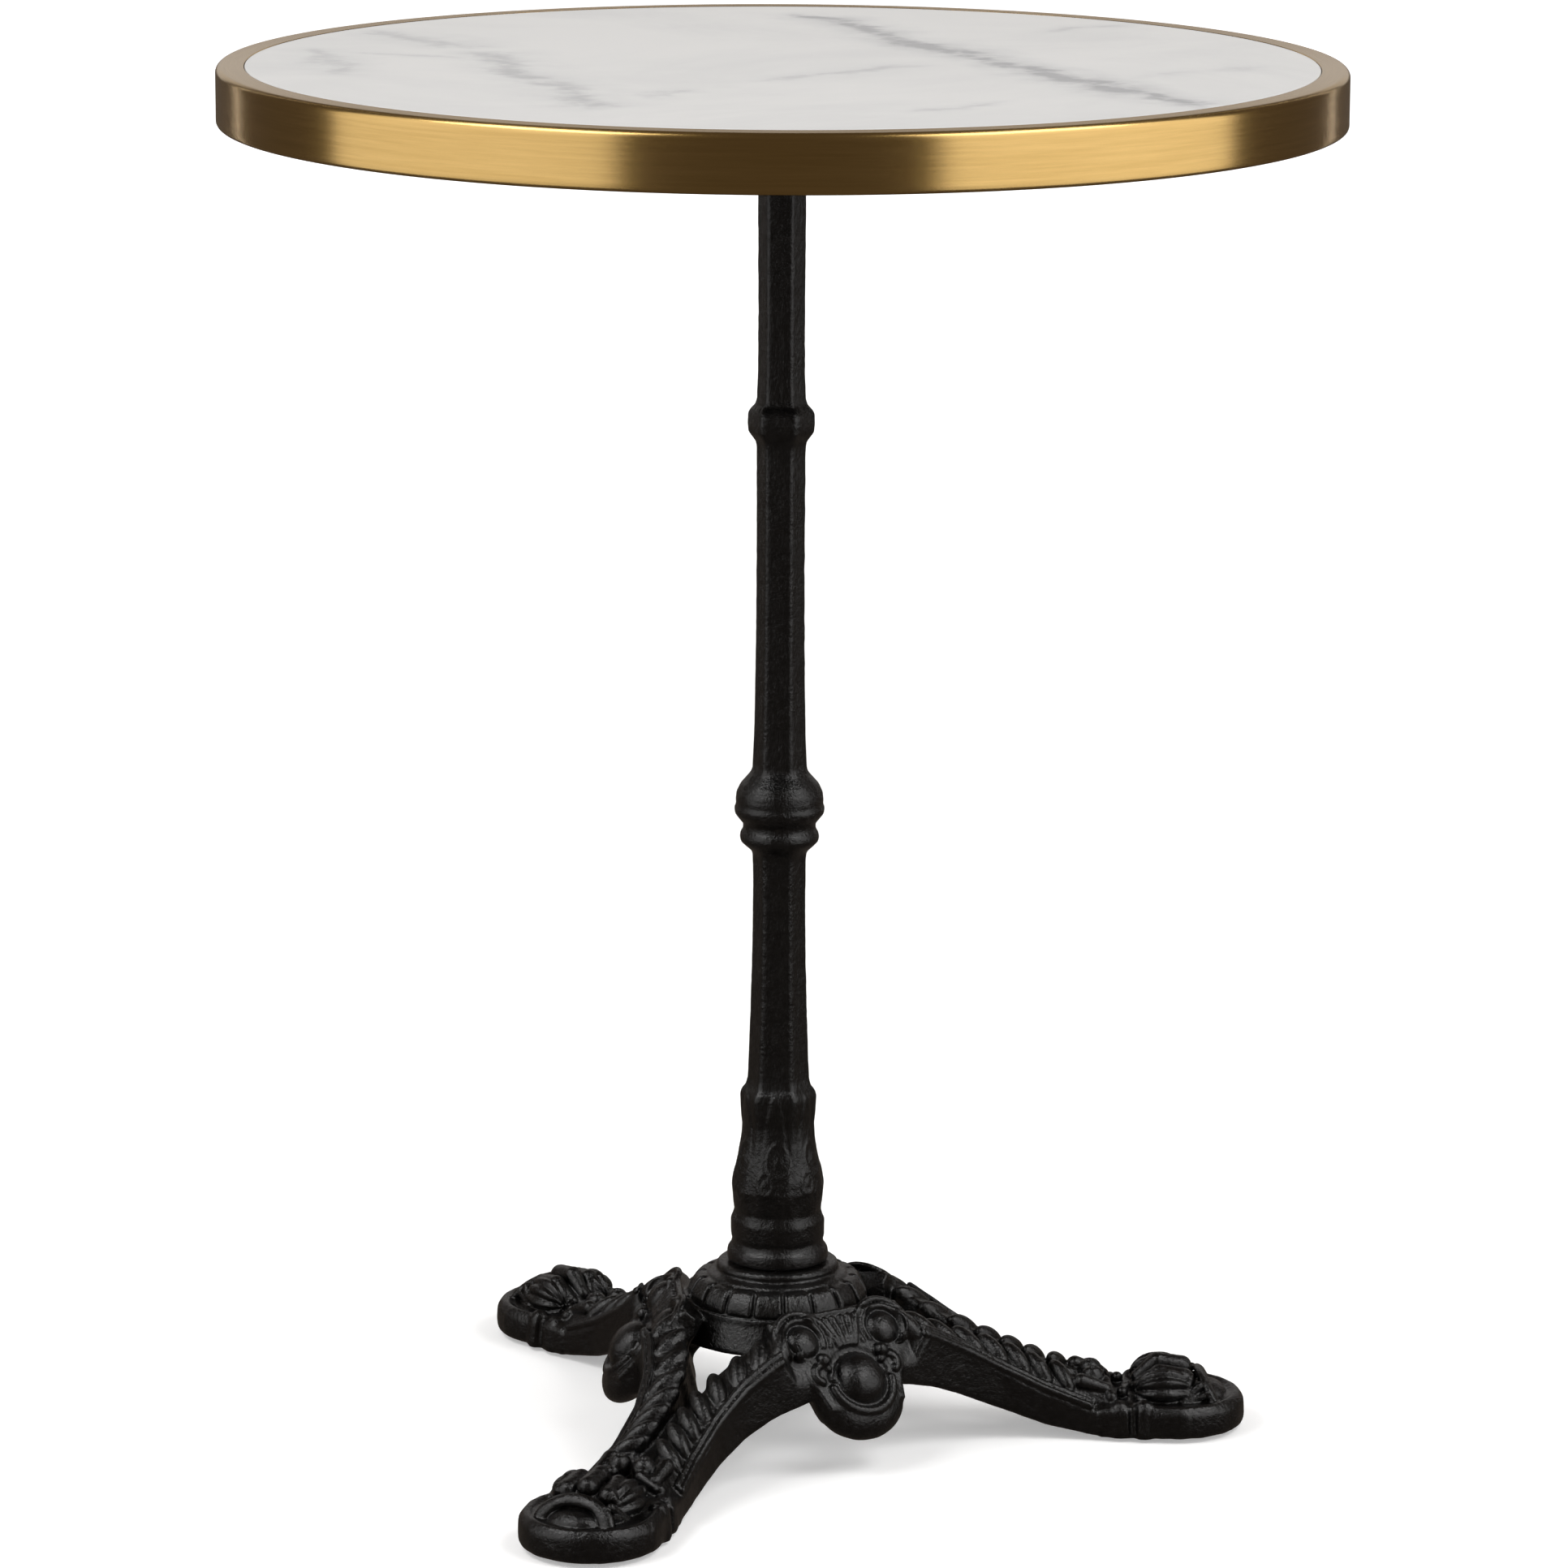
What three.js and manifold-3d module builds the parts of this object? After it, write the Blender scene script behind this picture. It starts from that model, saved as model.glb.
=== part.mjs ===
// Bistro table: a round stone top in a brass rim, on a cast-iron column and a three-legged base.
// Units are millimetres and +Z is up. The origin is on the floor, under the column's axis.

import * as THREE from 'three';
import { ConvexGeometry } from 'three/addons/geometries/ConvexGeometry.js';
import { mergeVertices } from 'three/addons/utils/BufferGeometryUtils.js';
import Module from 'manifold-3d';

const wasm = await Module();
wasm.setup();

// Driving dimensions
const GAP = 0.3; // between pieces that touch
const TABLE_HEIGHT = 720;
const TOP_RADIUS = 285;
const FLOOR_CLEARANCE = 2; // casting above the floor, filled by the glides

const RIM_HEIGHT = 29;
const RIM_WALL = 1.5;
const RIM_LIP = 14.3;
const RIM_FLANGE = 17;
const RIM_ROUND = 3;
const MARBLE_THICKNESS = 11.7;
const RIM_SCREWS = 6;
const RIM_SCREW_RADIUS = 276;
const RIM_SCREW_LENGTH = 13;

const ROD_RADIUS = 5;
const ROD_BORE = 6;
const NUT_HEIGHT = 8;
const NUT_CORNER = 9.8;
const ROD_WASHER_THICKNESS = 2.5;

const SPIDER_ARMS = 4;
const SPIDER_REACH = 155;
const SPIDER_THICKNESS = 6;
const SPIDER_SCREW_RADIUS = 138;
const SPIDER_SCREW_SHANK = 2.4;
const SPIDER_SCREW_LENGTH = 17;
const BOSS_RADIUS = 22;
const BOSS_DEPTH = 36;
const SOCKET_RADIUS = 13.4;
const SOCKET_DEPTH = 18;
const SOCKET_WEB = 5;
const NUT_POCKET_RADIUS = 14;

const COLUMN_FOOT = 94.5;
const SPIGOT_RADIUS = 14;
const SPIGOT_HEIGHT = 8;
const FLAT_TURN = THREE.MathUtils.degToRad(25); // turns a flat of the hexagonal shaft to the front

const LEGS = 3;
const LEG_TURN = THREE.MathUtils.degToRad(4);
const TOE_CENTRE = 210.5;
const TOE_RADIUS = 36;
const SHOE_TOP = 18;
const GLIDE_RADIUS = 15;
const GLIDE_HEIGHT = 6.5;
const GLIDE_FLOOR = 2; // thickness of the glide's foot below its stud
const GLIDE_STUD_RADIUS = 4;
const GLIDE_STUD_LENGTH = 28;

const RIM_BOTTOM = TABLE_HEIGHT - RIM_HEIGHT;
const LIP_INNER = TOP_RADIUS - RIM_LIP;
const BOARD_BOTTOM = RIM_BOTTOM + RIM_WALL + GAP;
const SPIDER_TOP = BOARD_BOTTOM - GAP;
const COLUMN_TOP = SPIDER_TOP - BOSS_DEPTH + SOCKET_DEPTH - GAP;

// Materials
function iron() {
  return new THREE.MeshStandardMaterial({ color: 0x151414, roughness: 0.5, metalness: 0.2 });
}

function brass() {
  return new THREE.MeshStandardMaterial({ color: 0xb08a3e, roughness: 0.3, metalness: 1 });
}

function steel() {
  return new THREE.MeshStandardMaterial({ color: 0x9a9ca0, roughness: 0.35, metalness: 1 });
}

function stone() {
  return new THREE.MeshStandardMaterial({ color: 0xe8e8e6, roughness: 0.3, metalness: 0 });
}

function board() {
  return new THREE.MeshStandardMaterial({ color: 0x2a2623, roughness: 0.8, metalness: 0 });
}

function plastic() {
  return new THREE.MeshStandardMaterial({ color: 0x1b1b1c, roughness: 0.6, metalness: 0 });
}

// Closed geometry to solid and back
function solid(geometry) {
  geometry.deleteAttribute('normal');
  geometry.deleteAttribute('uv');
  const merged = mergeVertices(geometry, 1e-4);
  const corners = merged.index.array;
  const kept = [];
  for (let i = 0; i < corners.length; i += 3) {
    const [a, b, c] = corners.slice(i, i + 3);
    if (a !== b && b !== c && c !== a) kept.push(a, b, c);
  }
  const mesh = new wasm.Mesh({
    numProp: 3,
    vertProperties: Float32Array.from(merged.attributes.position.array),
    triVerts: Uint32Array.from(kept),
  });
  return new wasm.Manifold(mesh);
}

function geometryOf(body) {
  const mesh = body.getMesh();
  const geometry = new THREE.BufferGeometry();
  geometry.setAttribute('position', new THREE.BufferAttribute(Float32Array.from(mesh.vertProperties), 3));
  geometry.setIndex(Array.from(mesh.triVerts));
  geometry.computeVertexNormals();
  return geometry;
}

function join(bodies) {
  return bodies.reduce((whole, body) => whole.add(body));
}

function cut(body, tools) {
  return tools.reduce((rest, tool) => rest.subtract(tool), body);
}

function turned(body, angle) {
  return solid(geometryOf(body).rotateZ(angle));
}

// A turned shape about +Z from [radius, height] points, listed anticlockwise seen with the axis on the left
function lathe(points, segments, start = 0) {
  const profile = points.map(([radius, height]) => new THREE.Vector2(radius, height));
  return new THREE.LatheGeometry(profile, segments, start).rotateX(Math.PI / 2);
}

function ring(points, segments) {
  return lathe([...points, points[0]], segments);
}

function rodShape(radius, bottom, top, segments) {
  return lathe([[0, bottom], [radius, bottom], [radius, top], [0, top]], segments);
}

function hull(points) {
  return solid(new ConvexGeometry(points.map((point) => new THREE.Vector3(...point))));
}

function ball(centre, radii, across, down) {
  const sphere = new THREE.SphereGeometry(1, across, down).scale(...radii);
  return solid(sphere.translate(...centre));
}

function around(count, radius, index) {
  const angle = (2 * Math.PI * index) / count + Math.PI / count;
  return [radius * Math.cos(angle), radius * Math.sin(angle)];
}

const table = new THREE.Group();

function place(parent, name, geometry, material, position = [0, 0, 0], turn = 0) {
  const mesh = new THREE.Mesh(geometry, material);
  mesh.name = name;
  mesh.position.set(...position);
  mesh.rotation.z = turn;
  parent.add(mesh);
}

// Table top: marble let into a board, with a folded brass rim round both
const TOP_SEGMENTS = 72;
const SCREW_SEGMENTS = 10;

function marbleShape() {
  const bottom = TABLE_HEIGHT - MARBLE_THICKNESS;
  const radius = LIP_INNER - GAP;
  const edge = 0.6;
  return lathe([
    [0, bottom], [radius, bottom], [radius, TABLE_HEIGHT - edge],
    [radius - edge, TABLE_HEIGHT], [0, TABLE_HEIGHT],
  ], TOP_SEGMENTS);
}

// Countersunk screw pointing up from its head at z = 0, made larger all round by extra
function rimScrewShape(extra) {
  const head = 3.2 + extra;
  const shank = 1.5 + extra;
  const end = RIM_SCREW_LENGTH + extra;
  return lathe([[0, -extra], [head, -extra], [shank, 1.8 + extra], [shank, end], [0, end]], SCREW_SEGMENTS);
}

// Pan-head wood screw pointing up, with the underside of its head at z = 0
function spiderScrewShape() {
  const head = 4.6;
  const drop = 2.6;
  return lathe([
    [0, -drop], [head * 0.7, -drop], [head, -drop * 0.4], [head, 0],
    [SPIDER_SCREW_SHANK, 0], [SPIDER_SCREW_SHANK, SPIDER_SCREW_LENGTH], [0, SPIDER_SCREW_LENGTH],
  ], SCREW_SEGMENTS);
}

function rimScrewSpots() {
  return Array.from({ length: RIM_SCREWS }, (_, i) => around(RIM_SCREWS, RIM_SCREW_RADIUS, i));
}

function spiderScrewSpots() {
  return Array.from({ length: SPIDER_ARMS }, (_, i) => around(SPIDER_ARMS, SPIDER_SCREW_RADIUS, i));
}

const RIM_SCREW_Z = RIM_BOTTOM + 0.2;
const SPIDER_SCREW_Z = SPIDER_TOP - SPIDER_THICKNESS - GAP;

function rimScrewHoles() {
  return rimScrewSpots().map(([x, y]) => solid(rimScrewShape(GAP).translate(x, y, RIM_SCREW_Z)));
}

function spiderScrewHoles() {
  const top = SPIDER_SCREW_Z + SPIDER_SCREW_LENGTH + GAP;
  return spiderScrewSpots().map(([x, y]) => {
    const hole = rodShape(SPIDER_SCREW_SHANK + GAP, SPIDER_SCREW_Z - 2, top, SCREW_SEGMENTS);
    return solid(hole.translate(x, y, 0));
  });
}

function boardShape() {
  const outer = TOP_RADIUS - RIM_WALL - GAP;
  const top = TABLE_HEIGHT - RIM_WALL - GAP;
  const recess = TABLE_HEIGHT - MARBLE_THICKNESS - GAP;
  const chamfer = 1.2;
  const disc = solid(lathe([
    [0, BOARD_BOTTOM], [outer - chamfer, BOARD_BOTTOM], [outer, BOARD_BOTTOM + chamfer],
    [outer, top - chamfer], [outer - chamfer, top], [LIP_INNER, top],
    [LIP_INNER, recess], [0, recess],
  ], TOP_SEGMENTS));
  return geometryOf(cut(disc, [...rimScrewHoles(), ...spiderScrewHoles()]));
}

function rimShape() {
  const inner = TOP_RADIUS - RIM_WALL;
  const flange = TOP_RADIUS - RIM_FLANGE;
  const slope = RIM_ROUND * Math.SQRT1_2;
  const lower = 2;
  const strip = solid(ring([
    [LIP_INNER, TABLE_HEIGHT - RIM_WALL],
    [inner - RIM_WALL, TABLE_HEIGHT - RIM_WALL],
    [inner, TABLE_HEIGHT - RIM_ROUND],
    [inner, RIM_BOTTOM + lower],
    [inner - 0.5, RIM_BOTTOM + RIM_WALL],
    [flange, RIM_BOTTOM + RIM_WALL],
    [flange, RIM_BOTTOM],
    [TOP_RADIUS - lower, RIM_BOTTOM],
    [TOP_RADIUS - 0.6, RIM_BOTTOM + 0.6],
    [TOP_RADIUS, RIM_BOTTOM + lower],
    [TOP_RADIUS, TABLE_HEIGHT - RIM_ROUND],
    [TOP_RADIUS - RIM_ROUND + slope, TABLE_HEIGHT - RIM_ROUND + slope],
    [TOP_RADIUS - RIM_ROUND, TABLE_HEIGHT],
    [LIP_INNER, TABLE_HEIGHT],
  ], TOP_SEGMENTS));
  return geometryOf(cut(strip, rimScrewHoles()));
}

// Spider: a cast cross under the board, with a socket for the column's top end
function spiderArm() {
  const plan = new THREE.Shape();
  const root = 20;
  const tip = 12;
  plan.moveTo(0, -root);
  plan.lineTo(SPIDER_REACH - tip, -tip);
  plan.absarc(SPIDER_REACH - tip, 0, tip, -Math.PI / 2, Math.PI / 2, false);
  plan.lineTo(0, root);
  const settings = { depth: SPIDER_THICKNESS, bevelEnabled: false, curveSegments: 8 };
  const plate = new THREE.ExtrudeGeometry(plan, settings);
  const under = SPIDER_TOP - SPIDER_THICKNESS;
  const deep = SPIDER_TOP - BOSS_DEPTH + 8;
  const half = 3;
  const end = 120;
  const rib = hull([
    [0, -half, under + 1], [0, half, under + 1], [0, -half, deep], [0, half, deep],
    [BOSS_RADIUS, -half, deep], [BOSS_RADIUS, half, deep],
    [end, -half, under - 1], [end, half, under - 1], [end, -half, under + 1], [end, half, under + 1],
  ]);
  return solid(plate.translate(0, 0, under)).add(rib);
}

function spiderShape() {
  const boss = solid(lathe([
    [0, SPIDER_TOP - BOSS_DEPTH], [BOSS_RADIUS - 2, SPIDER_TOP - BOSS_DEPTH],
    [BOSS_RADIUS, SPIDER_TOP - BOSS_DEPTH + 2], [BOSS_RADIUS + 4, SPIDER_TOP], [0, SPIDER_TOP],
  ], 24));
  const arm = spiderArm();
  const arms = Array.from({ length: SPIDER_ARMS }, (_, i) => {
    return turned(arm, ((2 * i + 1) * Math.PI) / SPIDER_ARMS);
  });
  const socket = solid(rodShape(SOCKET_RADIUS, SPIDER_TOP - BOSS_DEPTH - 1, COLUMN_TOP + GAP, 24));
  const bore = solid(rodShape(ROD_BORE, COLUMN_TOP - 1, SPIDER_TOP, 16));
  const pocket = solid(rodShape(NUT_POCKET_RADIUS, COLUMN_TOP + SOCKET_WEB, SPIDER_TOP + 1, 24));
  return geometryOf(cut(join([boss, ...arms]), [socket, bore, pocket, ...spiderScrewHoles()]));
}

// Column: a hexagonal tapering shaft with a collar, a turned knot and a vase-shaped foot
function columnShape() {
  const upper = lathe([
    [0, 540], [12.6, 540], [12.1, 587], [12.5, 652], [12.5, COLUMN_TOP], [0, COLUMN_TOP],
  ], 6, FLAT_TURN);
  const collar = lathe([
    [0, 524], [12.8, 524], [17.2, 531.5], [17.6, 541], [13, 548.5], [0, 548.5],
  ], 6, FLAT_TURN);
  const middle = lathe([
    [0, 340], [14.2, 356], [12.9, 410], [12.6, 461], [12.8, 530], [0, 530],
  ], 6, FLAT_TURN);
  const knot = lathe([
    [0, 312], [14, 312], [20.2, 318.5], [20.2, 323], [18.8, 327], [23.3, 334], [22.6, 341.5],
    [21, 347], [14.4, 356], [0, 356],
  ], 24);
  const lower = lathe([
    [0, 170], [17, 180], [15.8, 204], [14.2, 258], [13.8, 290], [14.2, 318], [0, 318],
  ], 6, FLAT_TURN);
  const vase = lathe([
    [0, COLUMN_FOOT], [26.3, COLUMN_FOOT], [26.2, 98.4], [24, 105], [24.7, 114], [22.8, 121],
    [24.2, 134], [19.6, 165], [20.6, 183], [16.6, 189], [0, 189],
  ], 18);
  const cavity = lathe([
    [0, COLUMN_FOOT - 1], [SPIGOT_RADIUS + GAP, COLUMN_FOOT - 1], [SPIGOT_RADIUS + GAP, 150],
    [ROD_BORE, 175], [ROD_BORE, COLUMN_TOP + 1], [0, COLUMN_TOP + 1],
  ], 18);
  return geometryOf(join([upper, collar, middle, knot, lower, vase].map(solid)).subtract(solid(cavity)));
}

// Base: a hub with a crown of blocks, and three legs of two arms each that meet at a foot
const HUB_TOP = COLUMN_FOOT - GAP;
const HUB_CEILING = 80;
const CROWN_BLOCKS = 18;

function hub() {
  const body = solid(ring([
    [ROD_BORE, HUB_CEILING], [40, HUB_CEILING], [44, 72], [48.5, 56.5], [53, 56],
    [50, 66], [46, 73], [45, 86], [37, 87], [33, 90.5], [31, HUB_TOP],
    [SPIGOT_RADIUS, HUB_TOP], [SPIGOT_RADIUS, HUB_TOP + SPIGOT_HEIGHT], [ROD_BORE, HUB_TOP + SPIGOT_HEIGHT],
  ], 32));
  const block = new THREE.BoxGeometry(6, 13, 12);
  const blocks = Array.from({ length: CROWN_BLOCKS }, (_, i) => {
    const angle = LEG_TURN + (2 * Math.PI * i) / CROWN_BLOCKS;
    return solid(block.clone().translate(44.5, 0, 80.5).rotateZ(angle));
  });
  return join([body, ...blocks]);
}

// One arm, from the arch beside the hub (first) to the foot (last). Each station gives the distance along
// the leg, the outer face's distance from the leg's middle, the arm's thickness at the bottom, and the
// heights of its edges.
const ARM_STATIONS = [
  { along: 55, face: 54, thick: 30, bottom: 41, ridge: 73, crest: 76 },
  { along: 70, face: 45, thick: 30, bottom: 37, ridge: 67, crest: 71 },
  { along: 80, face: 38, thick: 28, bottom: 33.5, ridge: 61, crest: 66 },
  { along: 95, face: 29.5, thick: 25, bottom: 26.5, ridge: 52.5, crest: 58 },
  { along: 115, face: 25, thick: 22, bottom: 17.5, ridge: 41, crest: 49.5 },
  { along: 140, face: 24.5, thick: 20, bottom: 7.5, ridge: 28, crest: 38 },
  { along: 165, face: 28, thick: 20, bottom: FLOOR_CLEARANCE, ridge: 18, crest: 29 },
  { along: 182, face: 31, thick: 20, bottom: FLOOR_CLEARANCE, ridge: 17, crest: 23 },
];

function armSection({ along, face, thick, bottom, ridge, crest }, side) {
  const corners = [
    [face, bottom], [face, ridge], [face - 7, crest], [face - 15, crest], [face - 19, crest - 8],
    [face - thick, bottom + 1],
  ];
  return corners.map(([lateral, height]) => [along, side * lateral, height]);
}

function arm(side) {
  const spans = ARM_STATIONS.slice(1).map((station, i) => {
    return hull([...armSection(ARM_STATIONS[i], side), ...armSection(station, side)]);
  });
  return join(spans);
}

function shoeOutline(shrink) {
  const outline = new THREE.Shape();
  const turn = THREE.MathUtils.degToRad(112);
  outline.moveTo(166 + shrink, 26 - shrink);
  outline.lineTo(166 + shrink, shrink - 26);
  outline.lineTo(184, shrink - 32);
  outline.absarc(TOE_CENTRE, 0, TOE_RADIUS - shrink, -turn, turn, false);
  outline.lineTo(184, 32 - shrink);
  outline.closePath();
  return outline;
}

// Horseshoe-shaped foot with a stepped ledge and a ribbed knob on top
function foot() {
  const bevel = 1.5;
  const shoe = new THREE.ExtrudeGeometry(shoeOutline(bevel), {
    depth: SHOE_TOP - FLOOR_CLEARANCE - 2 * bevel,
    bevelThickness: bevel,
    bevelSize: bevel,
    bevelSegments: 1,
    curveSegments: 14,
  });
  const ledgeSettings = { depth: 5, bevelEnabled: false, curveSegments: 12 };
  const ledge = new THREE.ExtrudeGeometry(shoeOutline(5), ledgeSettings);
  const instep = hull([
    [104, -8, 25], [104, 8, 25], [104, -8, 38], [104, 8, 38],
    [140, -12, 8], [140, 12, 8], [140, -12, 30], [140, 12, 30],
    [172, -15, 27], [172, 15, 27],
    [184, -14, 22], [184, 14, 22], [184, -20, 4], [184, 20, 4],
  ]);
  const knob = ball([212, 0, 22], [24, 27, 14], 12, 6);
  const ribs = [-2, -1, 0, 1, 2].map((rib) => {
    const away = Math.abs(rib);
    return ball([211 - away, rib * 9.5, 24], [20 - 2 * away, 6.2 - 0.5 * away, 15.5 - 1.5 * away], 6, 6);
  });
  const shoeBody = solid(shoe.translate(0, 0, FLOOR_CLEARANCE + bevel));
  return join([shoeBody, solid(ledge.translate(0, 0, SHOE_TOP - 1)), instep, knob, ...ribs]);
}

// Ornament between two legs, along +X: volutes above a boss, over a rounded pendant
const PLATE_HIGH = [56.5, 74.1];
const PLATE_LOW = [94.5, 28.1];
const PLATE_LENGTH = Math.hypot(PLATE_LOW[0] - PLATE_HIGH[0], PLATE_LOW[1] - PLATE_HIGH[1]);
const PLATE_TILT = Math.atan2(PLATE_LOW[0] - PLATE_HIGH[0], PLATE_HIGH[1] - PLATE_LOW[1]);

// Sets a shape on the sloping plate: down is the distance below its top edge, out is towards the viewer
function onPlate(geometry, across, down, out) {
  const share = down / PLATE_LENGTH;
  const x = PLATE_HIGH[0] + share * (PLATE_LOW[0] - PLATE_HIGH[0]) + out * Math.cos(PLATE_TILT);
  const z = PLATE_HIGH[1] + share * (PLATE_LOW[1] - PLATE_HIGH[1]) + out * Math.sin(PLATE_TILT);
  return solid(geometry.rotateY(Math.PI / 2 - PLATE_TILT).translate(x, across, z));
}

function disc(radius, thickness, segments) {
  return rodShape(radius, -thickness / 2, thickness / 2, segments);
}

function ornament() {
  const plate = hull([
    [58, -24, 81], [58, 24, 81], [48, -24, 80], [48, 24, 80],
    [62, -31, 70], [62, 31, 70], [48, -28, 62], [48, 28, 62],
    [80, -33, 50], [80, 33, 50], [84, -28, 42], [84, 28, 42], [68, -28, 43], [68, 28, 43],
  ]);
  const volutes = [-24.5, 24.5].map((across) => onPlate(disc(13.5, 7, 14), across, 5, -1));
  const boss = onPlate(new THREE.SphereGeometry(1, 12, 6).scale(14.5, 14.5, 8), 0, 32.5, -1);
  const lip = onPlate(new THREE.TorusGeometry(19.5, 3, 5, 14), 0, 34, -2);
  const pendant = onPlate(new THREE.SphereGeometry(1, 14, 6).scale(24, 24, 12), 0, 39, -9);
  return join([plate, ...volutes, boss, lip, pendant]);
}

function glideRecess() {
  const pocket = rodShape(GLIDE_RADIUS + 2, FLOOR_CLEARANCE - 1, GLIDE_HEIGHT + 1, 20);
  const thread = rodShape(GLIDE_STUD_RADIUS + GAP, GLIDE_HEIGHT, GLIDE_FLOOR + GLIDE_STUD_LENGTH + 3, 12);
  return join([solid(pocket.translate(TOE_CENTRE, 0, 0)), solid(thread.translate(TOE_CENTRE, 0, 0))]);
}

function baseShape() {
  const leg = cut(join([arm(1), arm(-1), foot()]), [glideRecess()]);
  const between = ornament();
  const legs = Array.from({ length: LEGS }, (_, i) => turned(leg, LEG_TURN + (2 * Math.PI * i) / LEGS));
  const ornaments = Array.from({ length: LEGS }, (_, i) => {
    return turned(between, LEG_TURN + ((2 * i + 1) * Math.PI) / LEGS);
  });
  const floorCut = rodShape(300, -60, FLOOR_CLEARANCE, 12);
  const clear = solid(rodShape(40, 50, HUB_CEILING, 24));
  return geometryOf(cut(join([hub(), ...legs, ...ornaments]), [solid(floorCut), clear]));
}

// Fixings on the tie rod
function nutShape() {
  const body = solid(rodShape(NUT_CORNER, 0, NUT_HEIGHT, 6));
  const thread = solid(rodShape(ROD_RADIUS + GAP, -1, NUT_HEIGHT + 1, 12));
  return geometryOf(body.subtract(thread));
}

function washerShape(radius, thickness) {
  const bore = ROD_RADIUS + GAP;
  return ring([[bore, 0], [radius, 0], [radius, thickness], [bore, thickness]], 20);
}

// Levelling glide: a moulded foot on a threaded stud
function glideFootShape() {
  const well = GLIDE_STUD_RADIUS + GAP;
  return lathe([
    [0, 0], [GLIDE_RADIUS - 1, 0], [GLIDE_RADIUS, 2.5], [GLIDE_RADIUS - 4, GLIDE_HEIGHT],
    [well, GLIDE_HEIGHT], [well, GLIDE_FLOOR], [0, GLIDE_FLOOR],
  ], 20);
}

function glideStudShape() {
  return rodShape(GLIDE_STUD_RADIUS, GLIDE_FLOOR + GAP, GLIDE_FLOOR + GLIDE_STUD_LENGTH, 12);
}

// Assembly
place(table, 'marble_top', marbleShape(), stone());
place(table, 'backing_board', boardShape(), board());
place(table, 'brass_rim', rimShape(), brass());
rimScrewSpots().forEach(([x, y], i) => {
  place(table, `rim_screw_${i + 1}`, rimScrewShape(0), brass(), [x, y, RIM_SCREW_Z]);
});
place(table, 'top_spider', spiderShape(), iron());
spiderScrewSpots().forEach(([x, y], i) => {
  place(table, `spider_screw_${i + 1}`, spiderScrewShape(), steel(), [x, y, SPIDER_SCREW_Z]);
});
place(table, 'column', columnShape(), iron());
place(table, 'tripod_base', baseShape(), iron());

const upperWasherZ = COLUMN_TOP + SOCKET_WEB + GAP;
const upperNutZ = upperWasherZ + ROD_WASHER_THICKNESS + GAP;
const lowerWasherZ = HUB_CEILING - GAP - ROD_WASHER_THICKNESS;
const lowerNutZ = lowerWasherZ - GAP - NUT_HEIGHT;
place(table, 'tie_rod', rodShape(ROD_RADIUS, lowerNutZ - 3, upperNutZ + NUT_HEIGHT, 14), steel());
place(table, 'upper_washer', washerShape(11, ROD_WASHER_THICKNESS), steel(), [0, 0, upperWasherZ]);
place(table, 'upper_nut', nutShape(), steel(), [0, 0, upperNutZ]);
place(table, 'lower_washer', washerShape(20, ROD_WASHER_THICKNESS), steel(), [0, 0, lowerWasherZ]);
place(table, 'lower_nut', nutShape(), steel(), [0, 0, lowerNutZ], 0.3);

for (let i = 0; i < LEGS; i += 1) {
  const leg = new THREE.Group();
  leg.rotation.z = LEG_TURN + (2 * Math.PI * i) / LEGS;
  place(leg, `glide_foot_${i + 1}`, glideFootShape(), plastic(), [TOE_CENTRE, 0, 0]);
  place(leg, `glide_stud_${i + 1}`, glideStudShape(), steel(), [TOE_CENTRE, 0, 0]);
  table.add(leg);
}

export default table;
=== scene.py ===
# Bistro table: marble top in a brushed brass rim, on a cast-iron column and a scrolled tripod base.
# The castings are grown as distance fields in millimetres and turned into meshes in metres.

import math

import bmesh
import bpy
import numpy as np
from mathutils import Matrix, Vector


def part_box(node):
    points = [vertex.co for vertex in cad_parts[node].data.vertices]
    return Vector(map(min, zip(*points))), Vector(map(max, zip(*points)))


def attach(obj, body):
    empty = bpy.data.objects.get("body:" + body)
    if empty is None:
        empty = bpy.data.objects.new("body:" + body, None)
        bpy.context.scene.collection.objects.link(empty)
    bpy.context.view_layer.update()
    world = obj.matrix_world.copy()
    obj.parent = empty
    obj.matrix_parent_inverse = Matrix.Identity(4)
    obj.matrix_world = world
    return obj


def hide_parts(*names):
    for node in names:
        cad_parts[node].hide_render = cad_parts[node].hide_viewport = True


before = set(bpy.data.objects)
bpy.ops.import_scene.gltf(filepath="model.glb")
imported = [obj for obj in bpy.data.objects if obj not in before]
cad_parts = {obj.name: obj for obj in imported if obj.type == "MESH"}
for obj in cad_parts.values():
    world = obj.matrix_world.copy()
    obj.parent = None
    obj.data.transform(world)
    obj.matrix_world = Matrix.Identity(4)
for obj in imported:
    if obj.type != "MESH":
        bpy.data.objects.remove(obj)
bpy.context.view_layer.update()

MM = 0.001
NEAR_AXIS = 0.001  # an outline that starts here, in millimetres, is welded shut at the axis
TOP_LOW, TOP_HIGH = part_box("brass_rim")
TABLE_HEIGHT = TOP_HIGH.z / MM
TOP_RADIUS = TOP_HIGH.x / MM
RIM_BOTTOM = TOP_LOW.z / MM
LEGS = 3
LEG_TURN = math.radians(4)


# ---------------------------------------------------------------- camera, light and floor

def make_camera():
    data = bpy.data.cameras.new("camera")
    data.sensor_width = 36
    data.lens = 157.4
    camera = bpy.data.objects.new("camera", data)
    camera.location = (0.00226, -3.44775, 1.1146)
    looking_down = math.radians(12.53)
    roll = 0.0047
    tilted = Matrix.Rotation(math.pi / 2 - looking_down, 4, "X")
    rolled = Matrix.Rotation(roll, 4, "Z")
    camera.matrix_world = Matrix.Translation(camera.location) @ tilted @ rolled
    bpy.context.collection.objects.link(camera)
    bpy.context.scene.camera = camera


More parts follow.
